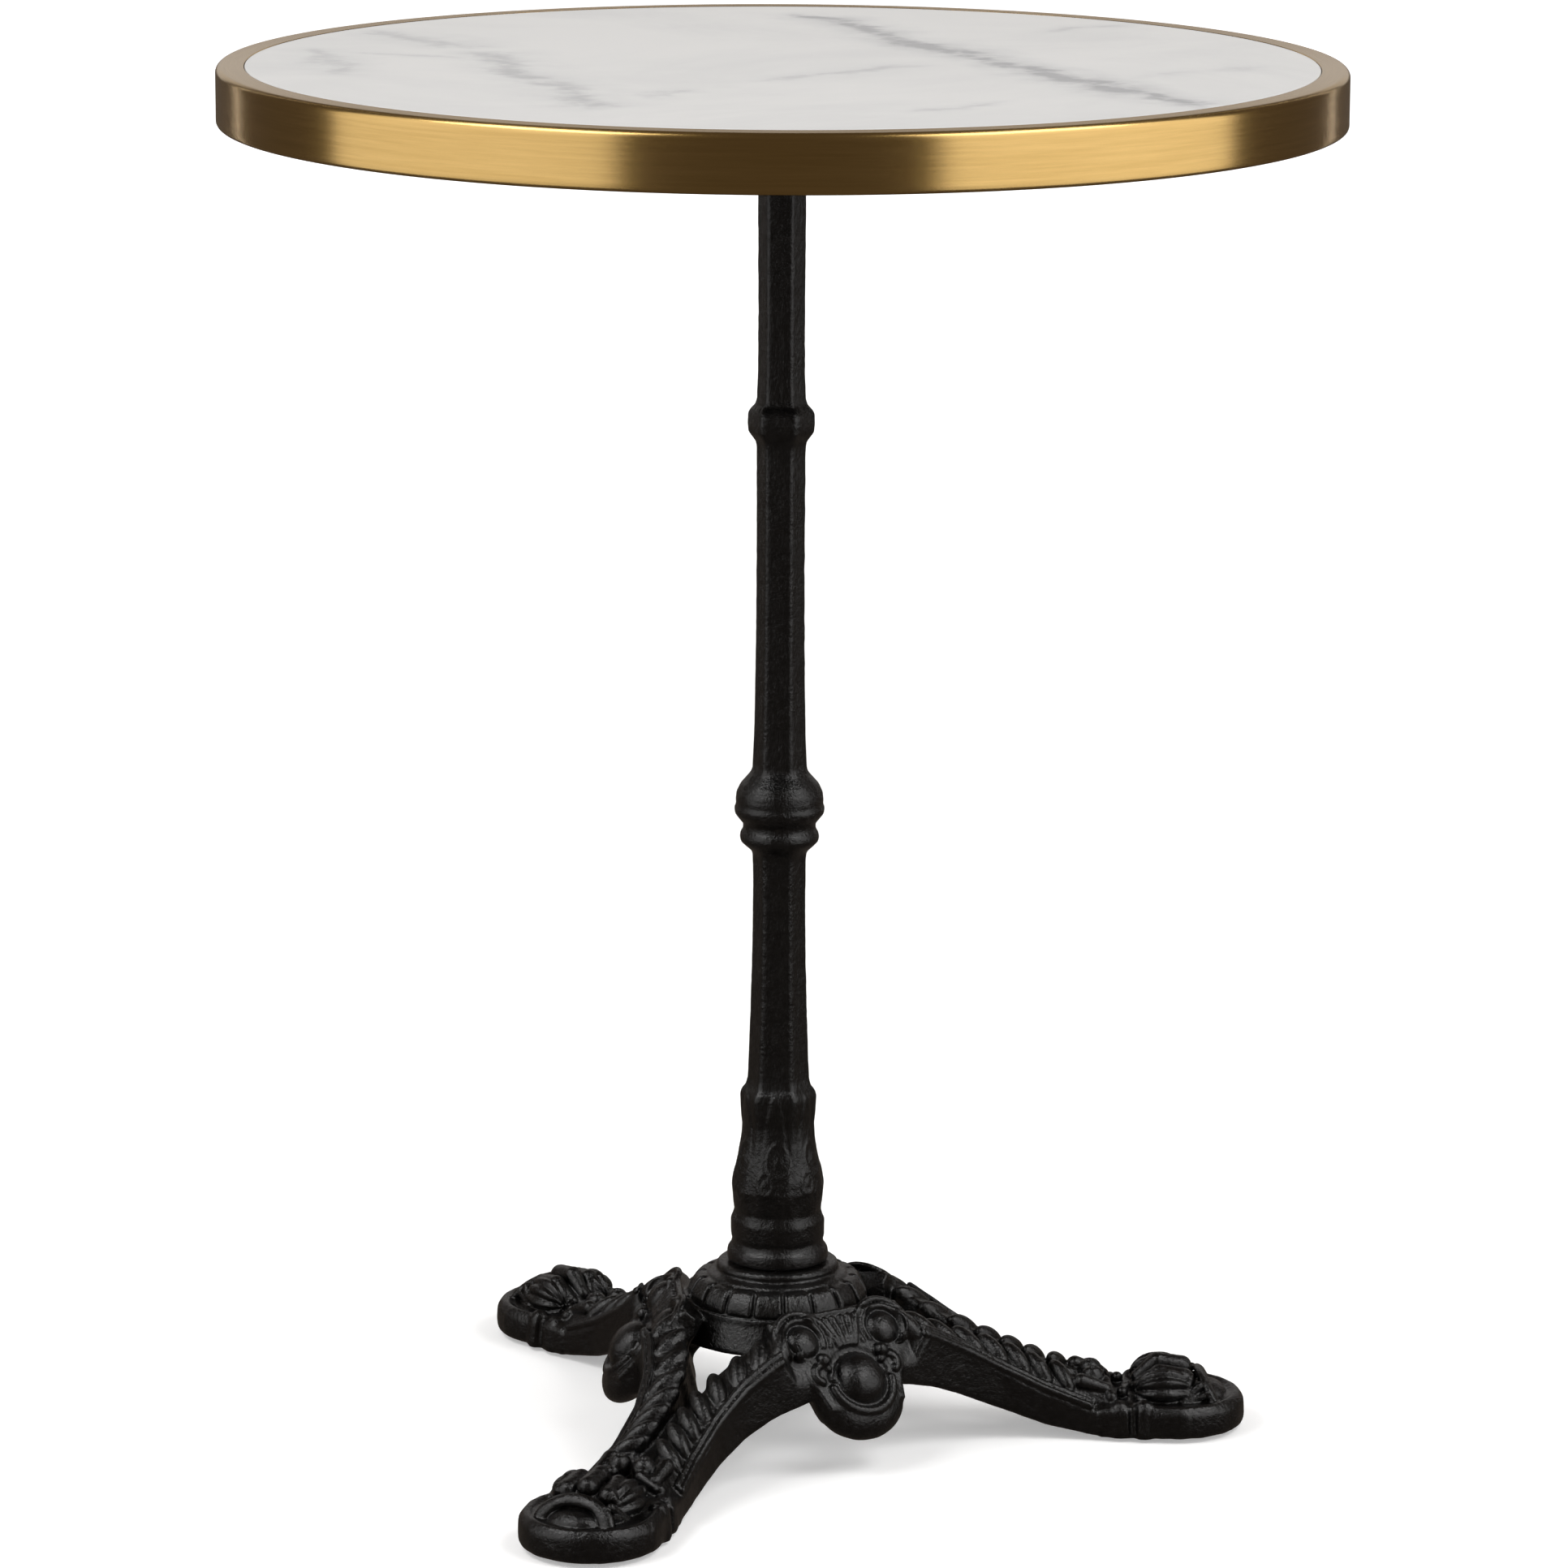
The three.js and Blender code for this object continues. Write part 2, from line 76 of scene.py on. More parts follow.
def area_light(name, place, target, width, height, brightness):
    """A soft white rectangle of the given radiance that the camera doesn't see."""
    data = bpy.data.lights.new(name, "AREA")
    data.shape = "RECTANGLE"
    data.size = width
    data.size_y = height
    data.energy = brightness * math.pi * width * height
    light = bpy.data.objects.new(name, data)
    light.location = place
    aim = Vector(target) - Vector(place)
    light.rotation_euler = aim.to_track_quat("-Z", "Y").to_euler()
    light.visible_camera = False
    bpy.context.collection.objects.link(light)
    return light


def around_table(angle, distance, height):
    """A place at this angle in degrees from the camera's side, counted towards +X."""
    turn = math.radians(angle)
    return (distance * math.sin(turn), -distance * math.cos(turn), height)


def make_studio():
    """Tall softboxes beside the table, thin strips behind it, and small high lights for the castings."""
    scene = bpy.context.scene
    scene.view_settings.view_transform = "Standard"
    world = bpy.data.worlds.new("studio")
    scene.world = world
    world.use_nodes = True
    back = world.node_tree.nodes["Background"]
    back.inputs["Color"].default_value = (0.8, 0.66, 0.55, 1)
    back.inputs["Strength"].default_value = 0.115
    middle = 1.55
    tall = 3.0
    eye = (0, 0, middle)
    area_light("left_softbox", around_table(-63.5, 2.2, middle), eye, 2.8, tall, 1.2)
    area_light("right_softbox", around_table(63, 2.2, middle), eye, 2.9, tall, 1.4)
    area_light("left_strip", around_table(-137, 2.4, middle), eye, 0.04, tall, 3.0)
    area_light("right_strip", around_table(140, 2.4, middle), eye, 0.04, tall, 3.0)
    low = (0, 0, 0.4)
    area_light("left_upper", around_table(-62, 1.9, 2.9), low, 1.8, 1.2, 5.2)
    area_light("right_upper", around_table(62, 1.9, 2.9), low, 1.8, 1.2, 4.6)
    overhead = area_light("overhead", (0, 1.2, 3.6), (0, 1.2, 0), 6.0, 6.0, 0.47)
    overhead.visible_glossy = False
    area_light("back_wall", (0, 6.5, 2.0), (0, 0, 1.2), 7.0, 2.4, 0.45)


# ---------------------------------------------------------------- material helpers

def new_material(name):
    material = bpy.data.materials.new(name)
    material.use_nodes = True
    tree = material.node_tree
    return material, tree, tree.nodes["Principled BSDF"]


def add_node(tree, kind, **settings):
    node = tree.nodes.new(kind)
    for key, value in settings.items():
        setattr(node, key, value)
    return node


def place_coordinates(tree):
    """Places on the piece itself, in metres."""
    return add_node(tree, "ShaderNodeTexCoord").outputs["Object"]


def noise(tree, vector, scale, detail=3, roughness=0.5, distortion=0.0):
    node = add_node(tree, "ShaderNodeTexNoise")
    node.inputs["Scale"].default_value = scale
    node.inputs["Detail"].default_value = detail
    node.inputs["Roughness"].default_value = roughness
    node.inputs["Distortion"].default_value = distortion
    tree.links.new(vector, node.inputs["Vector"])
    return node.outputs["Fac"]


def ramp(tree, factor, stops):
    node = add_node(tree, "ShaderNodeValToRGB")
    elements = node.color_ramp.elements
    while len(elements) < len(stops):
        elements.new(0.5)
    for element, (position, colour) in zip(elements, stops):
        element.position = position
        element.color = (*colour, 1)
    tree.links.new(factor, node.inputs["Fac"])
    return node.outputs["Color"]


def grey(value):
    return (value, value, value)


def remap(tree, value, low, high):
    node = add_node(tree, "ShaderNodeMapRange")
    node.inputs["To Min"].default_value = low
    node.inputs["To Max"].default_value = high
    tree.links.new(value, node.inputs["Value"])
    return node.outputs["Result"]


def math_node(tree, operation, first, second=None, clamp=False):
    node = add_node(tree, "ShaderNodeMath", operation=operation, use_clamp=clamp)
    for socket, value in zip(node.inputs, (first, second)):
        if isinstance(value, (int, float)):
            socket.default_value = value
        elif value is not None:
            tree.links.new(value, socket)
    return node.outputs[0]


def bump(tree, height, distance, strength, below=None):
    node = add_node(tree, "ShaderNodeBump")
    node.inputs["Distance"].default_value = distance
    node.inputs["Strength"].default_value = strength
    tree.links.new(height, node.inputs["Height"])
    if below is not None:
        tree.links.new(below, node.inputs["Normal"])
    return node.outputs["Normal"]


# ---------------------------------------------------------------- materials

def cast_iron_paint():
    """Satin black paint over sand-cast iron: gritty grains, soft orange peel and uneven gloss."""
    material, tree, shader = new_material("black_painted_cast_iron")
    place = place_coordinates(tree)
    grains = noise(tree, place, 560, 3, 0.65)
    grit = noise(tree, place, 1500, 2, 0.6)
    swell = noise(tree, place, 130, 2, 0.5)
    normal = bump(tree, swell, 0.0006, 0.5)
    normal = bump(tree, grains, 0.00052, 0.85, normal)
    normal = bump(tree, grit, 0.00012, 0.8, normal)
    tree.links.new(normal, shader.inputs["Normal"])
    tone = noise(tree, place, 260, 4, 0.65)
    colour = ramp(tree, tone, [(0.3, (0.0012, 0.0011, 0.0011)), (0.7, (0.0038, 0.0034, 0.0032))])
    tree.links.new(colour, shader.inputs["Base Color"])
    gloss = noise(tree, place, 320, 3, 0.6)
    tree.links.new(remap(tree, gloss, 0.10, 0.24), shader.inputs["Roughness"])
    shader.inputs["Specular IOR Level"].default_value = 0.42
    return material


def brushed_brass():
    """Lacquered brass with fine brush lines running round the rim."""
    material, tree, shader = new_material("brushed_brass")
    place = place_coordinates(tree)
    split = add_node(tree, "ShaderNodeSeparateXYZ")
    tree.links.new(place, split.inputs[0])
    x, y, z = split.outputs
    angle = math_node(tree, "ARCTAN2", y, x)
    squares = [math_node(tree, "MULTIPLY", value, value) for value in (x, y)]
    radius = math_node(tree, "SQRT", math_node(tree, "ADD", *squares))
    line_stretch = 0.009  # the lines' coordinate along the rim, in metres per radian
    across = add_node(tree, "ShaderNodeCombineXYZ")
    tree.links.new(math_node(tree, "MULTIPLY", angle, line_stretch), across.inputs[0])
    tree.links.new(radius, across.inputs[1])
    tree.links.new(z, across.inputs[2])
    lines = noise(tree, across.outputs[0], 2600, 3, 0.65)
    broad = noise(tree, across.outputs[0], 700, 2, 0.5)
    colour = ramp(tree, broad, [(0.25, (0.55, 0.362, 0.128)), (0.75, (0.63, 0.420, 0.158))])
    tree.links.new(colour, shader.inputs["Base Color"])
    shader.inputs["Metallic"].default_value = 1.0
    shader.inputs["Anisotropic"].default_value = 0.75
    shader.inputs["Anisotropic Rotation"].default_value = 0.25
    tree.links.new(remap(tree, lines, 0.19, 0.29), shader.inputs["Roughness"])
    tangent = add_node(tree, "ShaderNodeTangent", direction_type="RADIAL", axis="Z")
    tree.links.new(tangent.outputs[0], shader.inputs["Tangent"])
    normal = bump(tree, lines, 0.00003, 0.5)
    tree.links.new(normal, shader.inputs["Normal"])
    return material


def dot(tree, vector, direction):
    node = add_node(tree, "ShaderNodeVectorMath", operation="DOT_PRODUCT")
    tree.links.new(vector, node.inputs[0])
    node.inputs[1].default_value = (*direction, 0)
    return node.outputs["Value"]


def smooth_step(tree, value, start, end, low=0.0, high=1.0):
    node = add_node(tree, "ShaderNodeMapRange", interpolation_type="SMOOTHSTEP")
    tree.links.new(value, node.inputs["Value"])
    node.inputs["From Min"].default_value = start
    node.inputs["From Max"].default_value = end
    node.inputs["To Min"].default_value = low
    node.inputs["To Max"].default_value = high
    return node.outputs["Result"]


def vein(tree, place, wobble, start, end, core, halo, strength):
    """A wandering line between two places on the slab, in metres: thin dark core and a soft halo."""
    along = np.array(end) - np.array(start)
    length = float(np.linalg.norm(along))
    along = along / length
    side = np.array([-along[1], along[0]])
    off = math_node(tree, "SUBTRACT", dot(tree, place, side.tolist()), float(side @ np.array(start)))
    off = math_node(tree, "ABSOLUTE", math_node(tree, "ADD", off, wobble))
    run = math_node(tree, "SUBTRACT", dot(tree, place, along.tolist()), float(along @ np.array(start)))
    begins = smooth_step(tree, run, -0.015, 0.02)
    stops = smooth_step(tree, run, length - 0.02, length + 0.015, 1.0, 0.0)
    fade = math_node(tree, "MULTIPLY", begins, stops)
    line = smooth_step(tree, off, 0.0, core * 1.5, 0.50 * strength, 0.0)
    glow = smooth_step(tree, off, 0.0, halo, 0.38 * strength, 0.0)
    return math_node(tree, "MULTIPLY", math_node(tree, "ADD", line, glow), fade)


# Each vein: start, end, core width, halo width, strength
VEINS = [
    ((0.008, 0.235), (0.198, -0.180), 0.0080, 0.034, 1.0),
    ((-0.215, 0.150), (-0.150, 0.060), 0.0090, 0.036, 0.50),
    ((-0.155, 0.050), (-0.085, -0.190), 0.0115, 0.042, 0.66),
    ((-0.110, -0.110), (-0.100, -0.190), 0.0080, 0.026, 0.50),
    ((-0.240, 0.060), (-0.215, -0.060), 0.0080, 0.032, 0.45),
    ((-0.220, 0.040), (-0.160, 0.010), 0.0070, 0.026, 0.40),
    ((-0.010, -0.080), (0.070, -0.005), 0.0065, 0.024, 0.42),
    ((-0.070, -0.145), (-0.045, -0.112), 0.0060, 0.020, 0.45),
    ((0.060, -0.192), (0.104, -0.155), 0.0055, 0.018, 0.50),
    ((0.140, 0.148), (0.178, 0.190), 0.0050, 0.018, 0.45),
    ((0.175, -0.060), (0.245, -0.005), 0.0060, 0.030, 0.30),
]


def veined_marble():
    """Polished white marble with one strong diagonal vein, fainter ones and pale clouds."""
    material, tree, shader = new_material("white_marble")
    place = place_coordinates(tree)
    slow = math_node(tree, "SUBTRACT", noise(tree, place, 16, 3, 0.55), 0.5)
    quick = math_node(tree, "SUBTRACT", noise(tree, place, 85, 3, 0.65), 0.5)
    bends = math_node(tree, "MULTIPLY", slow, 0.050)
    jags = math_node(tree, "MULTIPLY", quick, 0.012)
    wobble = math_node(tree, "ADD", bends, jags)
    broken = smooth_step(tree, noise(tree, place, 48, 3, 0.6), 0.32, 0.58, 0.45, 1.0)
    total = None
    for start, end, core, halo, strength in VEINS:
        mask = vein(tree, place, wobble, start, end, core, halo, strength)
        total = mask if total is None else math_node(tree, "MAXIMUM", total, mask)
    total = math_node(tree, "MULTIPLY", total, broken)
    cloud = noise(tree, place, 5, 5, 0.6, 0.6)
    clouds = smooth_step(tree, cloud, 0.40, 0.72, 0.0, 0.20)
    sugar = math_node(tree, "MULTIPLY", noise(tree, place, 700, 2, 0.6), 0.05)
    dark = math_node(tree, "ADD", math_node(tree, "ADD", total, clouds), sugar, clamp=True)
    stops = [(0.0, (0.715, 0.710, 0.700)), (0.25, (0.630, 0.632, 0.630)), (0.9, (0.315, 0.32, 0.33))]
    tree.links.new(ramp(tree, dark, stops), shader.inputs["Base Color"])
    shader.inputs["Roughness"].default_value = 0.2
    return material


def plain_with_grain(name, dark, light, scale, rough_low, rough_high, metallic=0.0):
    """A plain finish with fine grain in its colour, roughness and surface."""
    material, tree, shader = new_material(name)
    place = place_coordinates(tree)
    grain = noise(tree, place, scale, 4, 0.6)
    tree.links.new(ramp(tree, grain, [(0.3, dark), (0.7, light)]), shader.inputs["Base Color"])
    tree.links.new(remap(tree, grain, rough_low, rough_high), shader.inputs["Roughness"])
    shader.inputs["Metallic"].default_value = metallic
    tree.links.new(bump(tree, grain, 0.0001, 0.6), shader.inputs["Normal"])
    return material


def floor_paper():
    """Matt white paper that glows a little, and more with distance, so that it stays evenly white."""
    material, tree, shader = new_material("pale_floor")
    place = place_coordinates(tree)
    grain = noise(tree, place, 3, 2, 0.5)
    tree.links.new(ramp(tree, grain, [(0.3, grey(0.86)), (0.7, grey(0.88))]), shader.inputs["Base Color"])
    shader.inputs["Roughness"].default_value = 0.9
    shader.inputs["Specular IOR Level"].default_value = 0.1
    shader.inputs["Emission Color"].default_value = (1, 1, 1, 1)
    away = add_node(tree, "ShaderNodeVectorMath", operation="LENGTH")
    tree.links.new(place, away.inputs[0])
    glow = smooth_step(tree, away.outputs["Value"], 1.3, 4.5, 0.32, 0.97)
    tree.links.new(glow, shader.inputs["Emission Strength"])
    return material


# ---------------------------------------------------------------- mesh helpers

def link_object(name, mesh, material):
    piece = bpy.data.objects.new(name, mesh)
    bpy.context.collection.objects.link(piece)
    mesh.materials.append(material)
    return piece


def smooth_mesh(name, vertices, faces):
    """A smooth-shaded mesh in metres from vertices in millimetres."""
    mesh = bpy.data.meshes.new(name)
    mesh.from_pydata((np.asarray(vertices) * MM).tolist(), [], [tuple(face) for face in faces])
    mesh.polygons.foreach_set("use_smooth", [True] * len(mesh.polygons))
    mesh.update()
    return mesh


def revolve(name, profile, segments, closed=True):
    """Turns a [radius, height] outline in millimetres about the Z axis."""
    profile = np.asarray(profile, float)
    angles = np.linspace(0, 2 * math.pi, segments, endpoint=False)
    count = len(profile)
    x = np.outer(np.cos(angles), profile[:, 0])
    y = np.outer(np.sin(angles), profile[:, 0])
    z = np.tile(profile[:, 1], (segments, 1))
    vertices = np.stack([x, y, z], -1).reshape(-1, 3)
    steps = count if closed else count - 1
    faces = []
    for i in range(segments):
        j = (i + 1) % segments
        for k in range(steps):
            m = (k + 1) % count
            faces.append((i * count + k, j * count + k, j * count + m, i * count + m))
    return smooth_mesh(name, vertices, faces)


def arc(centre, radius, start, end, steps):
    angles = np.radians(np.linspace(start, end, steps))
    return [(centre[0] + radius * math.cos(a), centre[1] + radius * math.sin(a)) for a in angles]


def weld(mesh, distance):
    shape = bmesh.new()
    shape.from_mesh(mesh)
    bmesh.ops.remove_doubles(shape, verts=shape.verts, dist=distance)
    bmesh.ops.recalc_face_normals(shape, faces=shape.faces)
    shape.to_mesh(mesh)
    shape.free()


# ---------------------------------------------------------------- distance fields

FAR = 12.0


def smooth_min(first, second, soft):
    if soft <= 0:
        return np.minimum(first, second)
    share = np.clip(0.5 + 0.5 * (second - first) / soft, 0, 1)
    return second + (first - second) * share - soft * share * (1 - share)


def smooth_max(first, second, soft):
    return -smooth_min(-first, -second, soft)


class Field:
    """A block of space, in millimetres, that holds the distance to a growing solid."""

    def __init__(self, low, high, step, fold):
        self.low = np.array(low, np.float32)
        self.step = step
        size = np.ceil((np.array(high) - self.low) / step).astype(int) + 1
        self.axes = [self.low[i] + step * np.arange(size[i], dtype=np.float32) for i in range(3)]
        self.values = np.full(size, FAR, np.float32)
        x, y = np.meshgrid(self.axes[0], self.axes[1], indexing="ij")
        self.x, self.y = fold(x, y)

    def window(self, low, high):
        spans = []
        for i in range(3):
            first = int(np.clip(np.floor((low[i] - self.low[i]) / self.step), 0, len(self.axes[i])))
            last = int(np.clip(np.ceil((high[i] - self.low[i]) / self.step) + 1, 0, len(self.axes[i])))
            spans.append(slice(first, last))
        return tuple(spans)

    def points(self, spans):
        x = self.x[spans[0], spans[1]][:, :, None]
        y = self.y[spans[0], spans[1]][:, :, None]
        return x, y, self.axes[2][spans[2]][None, None, :]

    def add(self, shape, low, high, soft):
        spans = self.window(low, high)
        if min(s.stop - s.start for s in spans) > 0:
            distance = shape(*self.points(spans)).astype(np.float32)
            self.values[spans] = smooth_min(self.values[spans], distance, soft)

    def cut(self, shape, low, high, soft):
        spans = self.window(low, high)
        if min(s.stop - s.start for s in spans) > 0:
            distance = shape(*self.points(spans)).astype(np.float32)
            self.values[spans] = smooth_max(self.values[spans], -distance, soft)

    def surface(self):
        return surface_nets(self.values, self.low, self.step)


CORNERS = [(i, j, k) for i in (0, 1) for j in (0, 1) for k in (0, 1)]


def surface_nets(values, low, step):
    """Vertices and quads of the zero level, one vertex in each cell that the surface passes through."""
    size = np.array(values.shape) - 1

    def corner(offset):
        i, j, k = offset
        return values[i:i + size[0], j:j + size[1], k:k + size[2]]

    below = sum((corner(c) < 0).astype(np.uint8) for c in CORNERS)
    active = (below > 0) & (below < 8)
    cells = np.argwhere(active)
    index = np.full(size, -1, np.int32)
    index[active] = np.arange(len(cells), dtype=np.int32)
    held = {c: corner(c)[active] for c in CORNERS}
    total = np.zeros((len(cells), 3), np.float32)
    count = np.zeros(len(cells), np.float32)
    for first in CORNERS:
        for axis in range(3):
            if first[axis] == 1:
                continue
            second = tuple(1 if i == axis else first[i] for i in range(3))
            a, b = held[first], held[second]
            crossing = (a < 0) != (b < 0)
            share = np.where(crossing, a / np.where(crossing, a - b, 1), 0)
            spot = np.tile(np.array(first, np.float32), (len(cells), 1))
            spot[:, axis] += share
            total += spot * crossing[:, None]
            count += crossing
    vertices = low + step * (cells + total / count[:, None])
    faces = []
    for axis in range(3):
        u, v = (axis + 1) % 3, (axis + 2) % 3
        start = [slice(1, size[i]) for i in range(3)]
        start[axis] = slice(0, size[axis])
        ahead = list(start)
        ahead[axis] = slice(1, size[axis] + 1)
        near, far = values[tuple(start)] < 0, values[tuple(ahead)] < 0
        for wanted, flip in ((near & ~far, False), (~near & far, True)):
            spots = np.argwhere(wanted) + np.array([s.start for s in start])
            corners = []
            for du, dv in ((0, 0), (-1, 0), (-1, -1), (0, -1)):
                cell = spots.copy()
                cell[:, u] += du
                cell[:, v] += dv
                corners.append(index[cell[:, 0], cell[:, 1], cell[:, 2]])
            quads = np.stack(corners[::-1] if flip else corners, -1)
            faces.append(quads[(quads >= 0).all(1)])
    return vertices, np.concatenate(faces)


def ball(centre, radii):
    """Roughly the distance to an ellipsoid."""
    radii = np.array(radii, float)

    def shape(x, y, z):
        dx, dy, dz = x - centre[0], y - centre[1], z - centre[2]
        near = np.sqrt((dx / radii[0]) ** 2 + (dy / radii[1]) ** 2 + (dz / radii[2]) ** 2)
        squared = radii ** 2
        steep = np.sqrt((dx / squared[0]) ** 2 + (dy / squared[1]) ** 2 + (dz / squared[2]) ** 2)
        return near * (near - 1) / np.maximum(steep, 1e-4)
    return shape


def rod(start, end, radius, end_radius=None):
    """A capsule, tapering to end_radius."""
    start, end = np.array(start, float), np.array(end, float)
    along = end - start
    length = float(along @ along)
    end_radius = radius if end_radius is None else end_radius

    def shape(x, y, z):
        gaps = (x - start[0], y - start[1], z - start[2])
        share = np.clip(sum(gap * part for gap, part in zip(gaps, along)) / length, 0, 1)
        away = np.sqrt(sum((gap - share * part) ** 2 for gap, part in zip(gaps, along)))
        return away - (radius + (end_radius - radius) * share)
    return shape


def polygon_distance(points, u, v):
    """Signed distance in a plane to a closed outline, negative inside."""
    points = np.asarray(points, np.float32)
    inside = np.zeros(np.broadcast(u, v).shape, bool)
    best = np.full(inside.shape, 1e9, np.float32)
    for (ax, ay), (bx, by) in zip(points, np.roll(points, -1, 0)):
        ex, ey = bx - ax, by - ay
        wx, wy = u - ax, v - ay
        share = np.clip((wx * ex + wy * ey) / (ex * ex + ey * ey), 0, 1)
        best = np.minimum(best, (wx - share * ex) ** 2 + (wy - share * ey) ** 2)
        if ey != 0:
            crosses = ((ay > v) != (by > v)) & (u < ax + (v - ay) * ex / ey)
            inside ^= crosses
    return np.where(inside, -1, 1) * np.sqrt(best)


# ---------------------------------------------------------------- base casting

BASE_STEP = 0.75
BASE_HIGH = 104
BASE_REACH = 249
HALF_TURN = math.pi / LEGS  # from a leg's middle to the middle of the ornament beside it
FLOOR_CLEARANCE = 2.0
TOE_CENTRE = 210.5
TOE_RADIUS = 36.0


def fold_to_half_leg(x, y):
    """Mirrors every point into the half of one leg with y above 0, up to the middle of the ornament."""
    y = np.abs(y)
    across = -x * math.sin(HALF_TURN) + y * math.cos(HALF_TURN)
    along = x * math.cos(HALF_TURN) + y * math.sin(HALF_TURN)
    across = -np.abs(across)
    x = along * math.cos(HALF_TURN) - across * math.sin(HALF_TURN)
    y = along * math.sin(HALF_TURN) + across * math.cos(HALF_TURN)
    return x.astype(np.float32), y.astype(np.float32)


# Along the leg: the arm's outer face, the bottom, the ridge and the crest, and the arm's thickness
STATION = np.array([30, 38, 55, 70, 80, 95, 115, 140, 165, 184, 200])
FACE = np.array([70, 65.5, 54.5, 45, 38, 29.8, 25, 24.5, 28, 31.5, 33])
BOTTOM = np.array([45, 44, 41, 37, 33.5, 26.5, 17.5, 7.8, 2.6, 2, 2])
RIDGE = np.array([76, 75.5, 73, 67.5, 62, 53, 41, 28, 18.5, 17, 17])
CREST = np.array([79, 78.5, 76, 72, 67, 58.5, 49.5, 38.5, 29.5, 23, 20])
THICK = np.array([30, 30, 30, 29, 28, 26, 24, 22, 21, 21, 21])


def curve_through(values):
    """A smoothed curve through the stations' values, and its slope."""
    softness = 7.0
    fine = np.linspace(STATION[0], STATION[-1], 681)
    raw = np.interp(fine, STATION, values)
    width = int(softness / (fine[1] - fine[0]))
    kernel = np.hanning(2 * width + 1)
    kernel /= kernel.sum()
    padded = np.concatenate([
        raw[0] + (raw[1] - raw[0]) * np.arange(-width, 0),
        raw,
        raw[-1] + (raw[-1] - raw[-2]) * np.arange(1, width + 1),
    ])
    level = np.convolve(padded, kernel, "valid")
    slope = np.gradient(level, fine)
    return (lambda x: np.interp(x, fine, level)), (lambda x: np.interp(x, fine, slope))


face_at, face_slope = curve_through(FACE)
bottom_at, bottom_slope = curve_through(BOTTOM)
ridge_at, ridge_slope = curve_through(RIDGE)
crest_at, crest_slope = curve_through(CREST)
thick_at, _ = curve_through(THICK)


def across_arm(x, y):
    """Distance outwards from the arm's outer face, square to the face."""
    return (y - face_at(x)) / np.sqrt(1 + face_slope(x) ** 2)


def above_plate(x, y, z):
    """How far a point is out of the sloping plate of the ornament, relaxed towards the arm."""
    radial = x * math.cos(HALF_TURN) + y * math.sin(HALF_TURN) - PLATE_TOP[0]
    across = np.abs(-x * math.sin(HALF_TURN) + y * math.cos(HALF_TURN))
    out = radial * PLATE_OUT[0] + (z - PLATE_TOP[1]) * PLATE_OUT[1]
    return out + 0.8 - 0.8 * np.maximum(across - 37, 0)


def arm_body(x, y, z):
    q = across_arm(x, y)
    bottom, ridge, crest, thick = bottom_at(x), ridge_at(x), crest_at(x), thick_at(x)
    level = 1 / np.sqrt(1 + bottom_slope(x) ** 2)
    rise, run = crest - ridge - 4.0, 9.0
    shoulder = ((z - ridge - 0.3) * run + (q + 4.5) * rise) / np.sqrt(run ** 2 + rise ** 2)
    drop = crest - bottom
    inner = (-(q + 20) * drop - (crest - z) * (thick - 20)) / np.sqrt(drop ** 2 + (thick - 20) ** 2)
    body = smooth_max(q - 0.2, shoulder, 1.5)
    body = smooth_max(body, (z - crest + 3.0) * level, 3.0)
    body = smooth_max(body, (bottom - z) * level, 3.5)
    body = smooth_max(body, inner, 4.0)
    return smooth_max(body, above_plate(x, y, z), 2.0)


def line_on_arm(inset, rise, radius):
    """A raised line that follows the arm's ridge."""
    start, end = 71, 164

    def shape(x, y, z):
        q = across_arm(x, y)
        level = 1 / np.sqrt(1 + ridge_slope(x) ** 2)
        gap = np.sqrt((q + inset) ** 2 + ((z - ridge_at(x) - rise) * level) ** 2)
        line = smooth_max(gap - radius, np.maximum(start - x, x - end), 1.5)
        return smooth_max(line, above_plate(x, y, z) - 2.0, 1.5)
    return shape


def pillow(centre, axes, radii):
    """A ball stretched by the radii along three axes of its own."""
    plain = ball((0, 0, 0), radii)

    def shape(x, y, z):
        dx, dy, dz = x - centre[0], y - centre[1], z - centre[2]
        return plain(*(dx * a[0] + dy * a[1] + dz * a[2] for a in axes))
    return shape


ROPE_LOBES = 9
ROPE_START = 54.0
ROPE_SLANT = math.radians(42)
ROPE_LEAN = math.radians(27)


def grow_rope(field):
    """Overlapping slanted lobes along the top of the arm, smaller towards the foot."""
    line = np.linspace(ROPE_START, STATION[-1], 600)
    steps = np.sqrt(np.diff(line) ** 2 + np.diff(face_at(line)) ** 2 + np.diff(crest_at(line)) ** 2)
    lengths = np.concatenate([[0], np.cumsum(steps)])
    travelled = 0.0
    for i in range(ROPE_LOBES):
        pitch = 14.6 - 0.42 * i
        along = float(np.interp(travelled + pitch / 2, lengths, line))
        travelled += pitch
        forward = np.array([1, face_slope(along), crest_slope(along)])
        forward /= np.linalg.norm(forward)
        outward = np.array([-face_slope(along), 1, 0])
        outward /= np.linalg.norm(outward)
        up = np.cross(forward, outward)
        up /= np.linalg.norm(up)
        centre = np.array([along, face_at(along), crest_at(along)]) - 13.6 * outward - 5.0 * up
        downhill = outward * math.cos(ROPE_LEAN) - up * math.sin(ROPE_LEAN)
        proud = up * math.cos(ROPE_LEAN) + outward * math.sin(ROPE_LEAN)
        across = downhill * math.cos(ROPE_SLANT) + forward * math.sin(ROPE_SLANT)
        ahead = forward * math.cos(ROPE_SLANT) - downhill * math.sin(ROPE_SLANT)
        size = pitch / 15
        radii = (15.5 * size, 6.2 * size, 7.4 * size)
        low, high = box_around(centre, (16, 16, 15))
        field.add(pillow(centre, (across, ahead, proud), radii), low, high, 0.6)


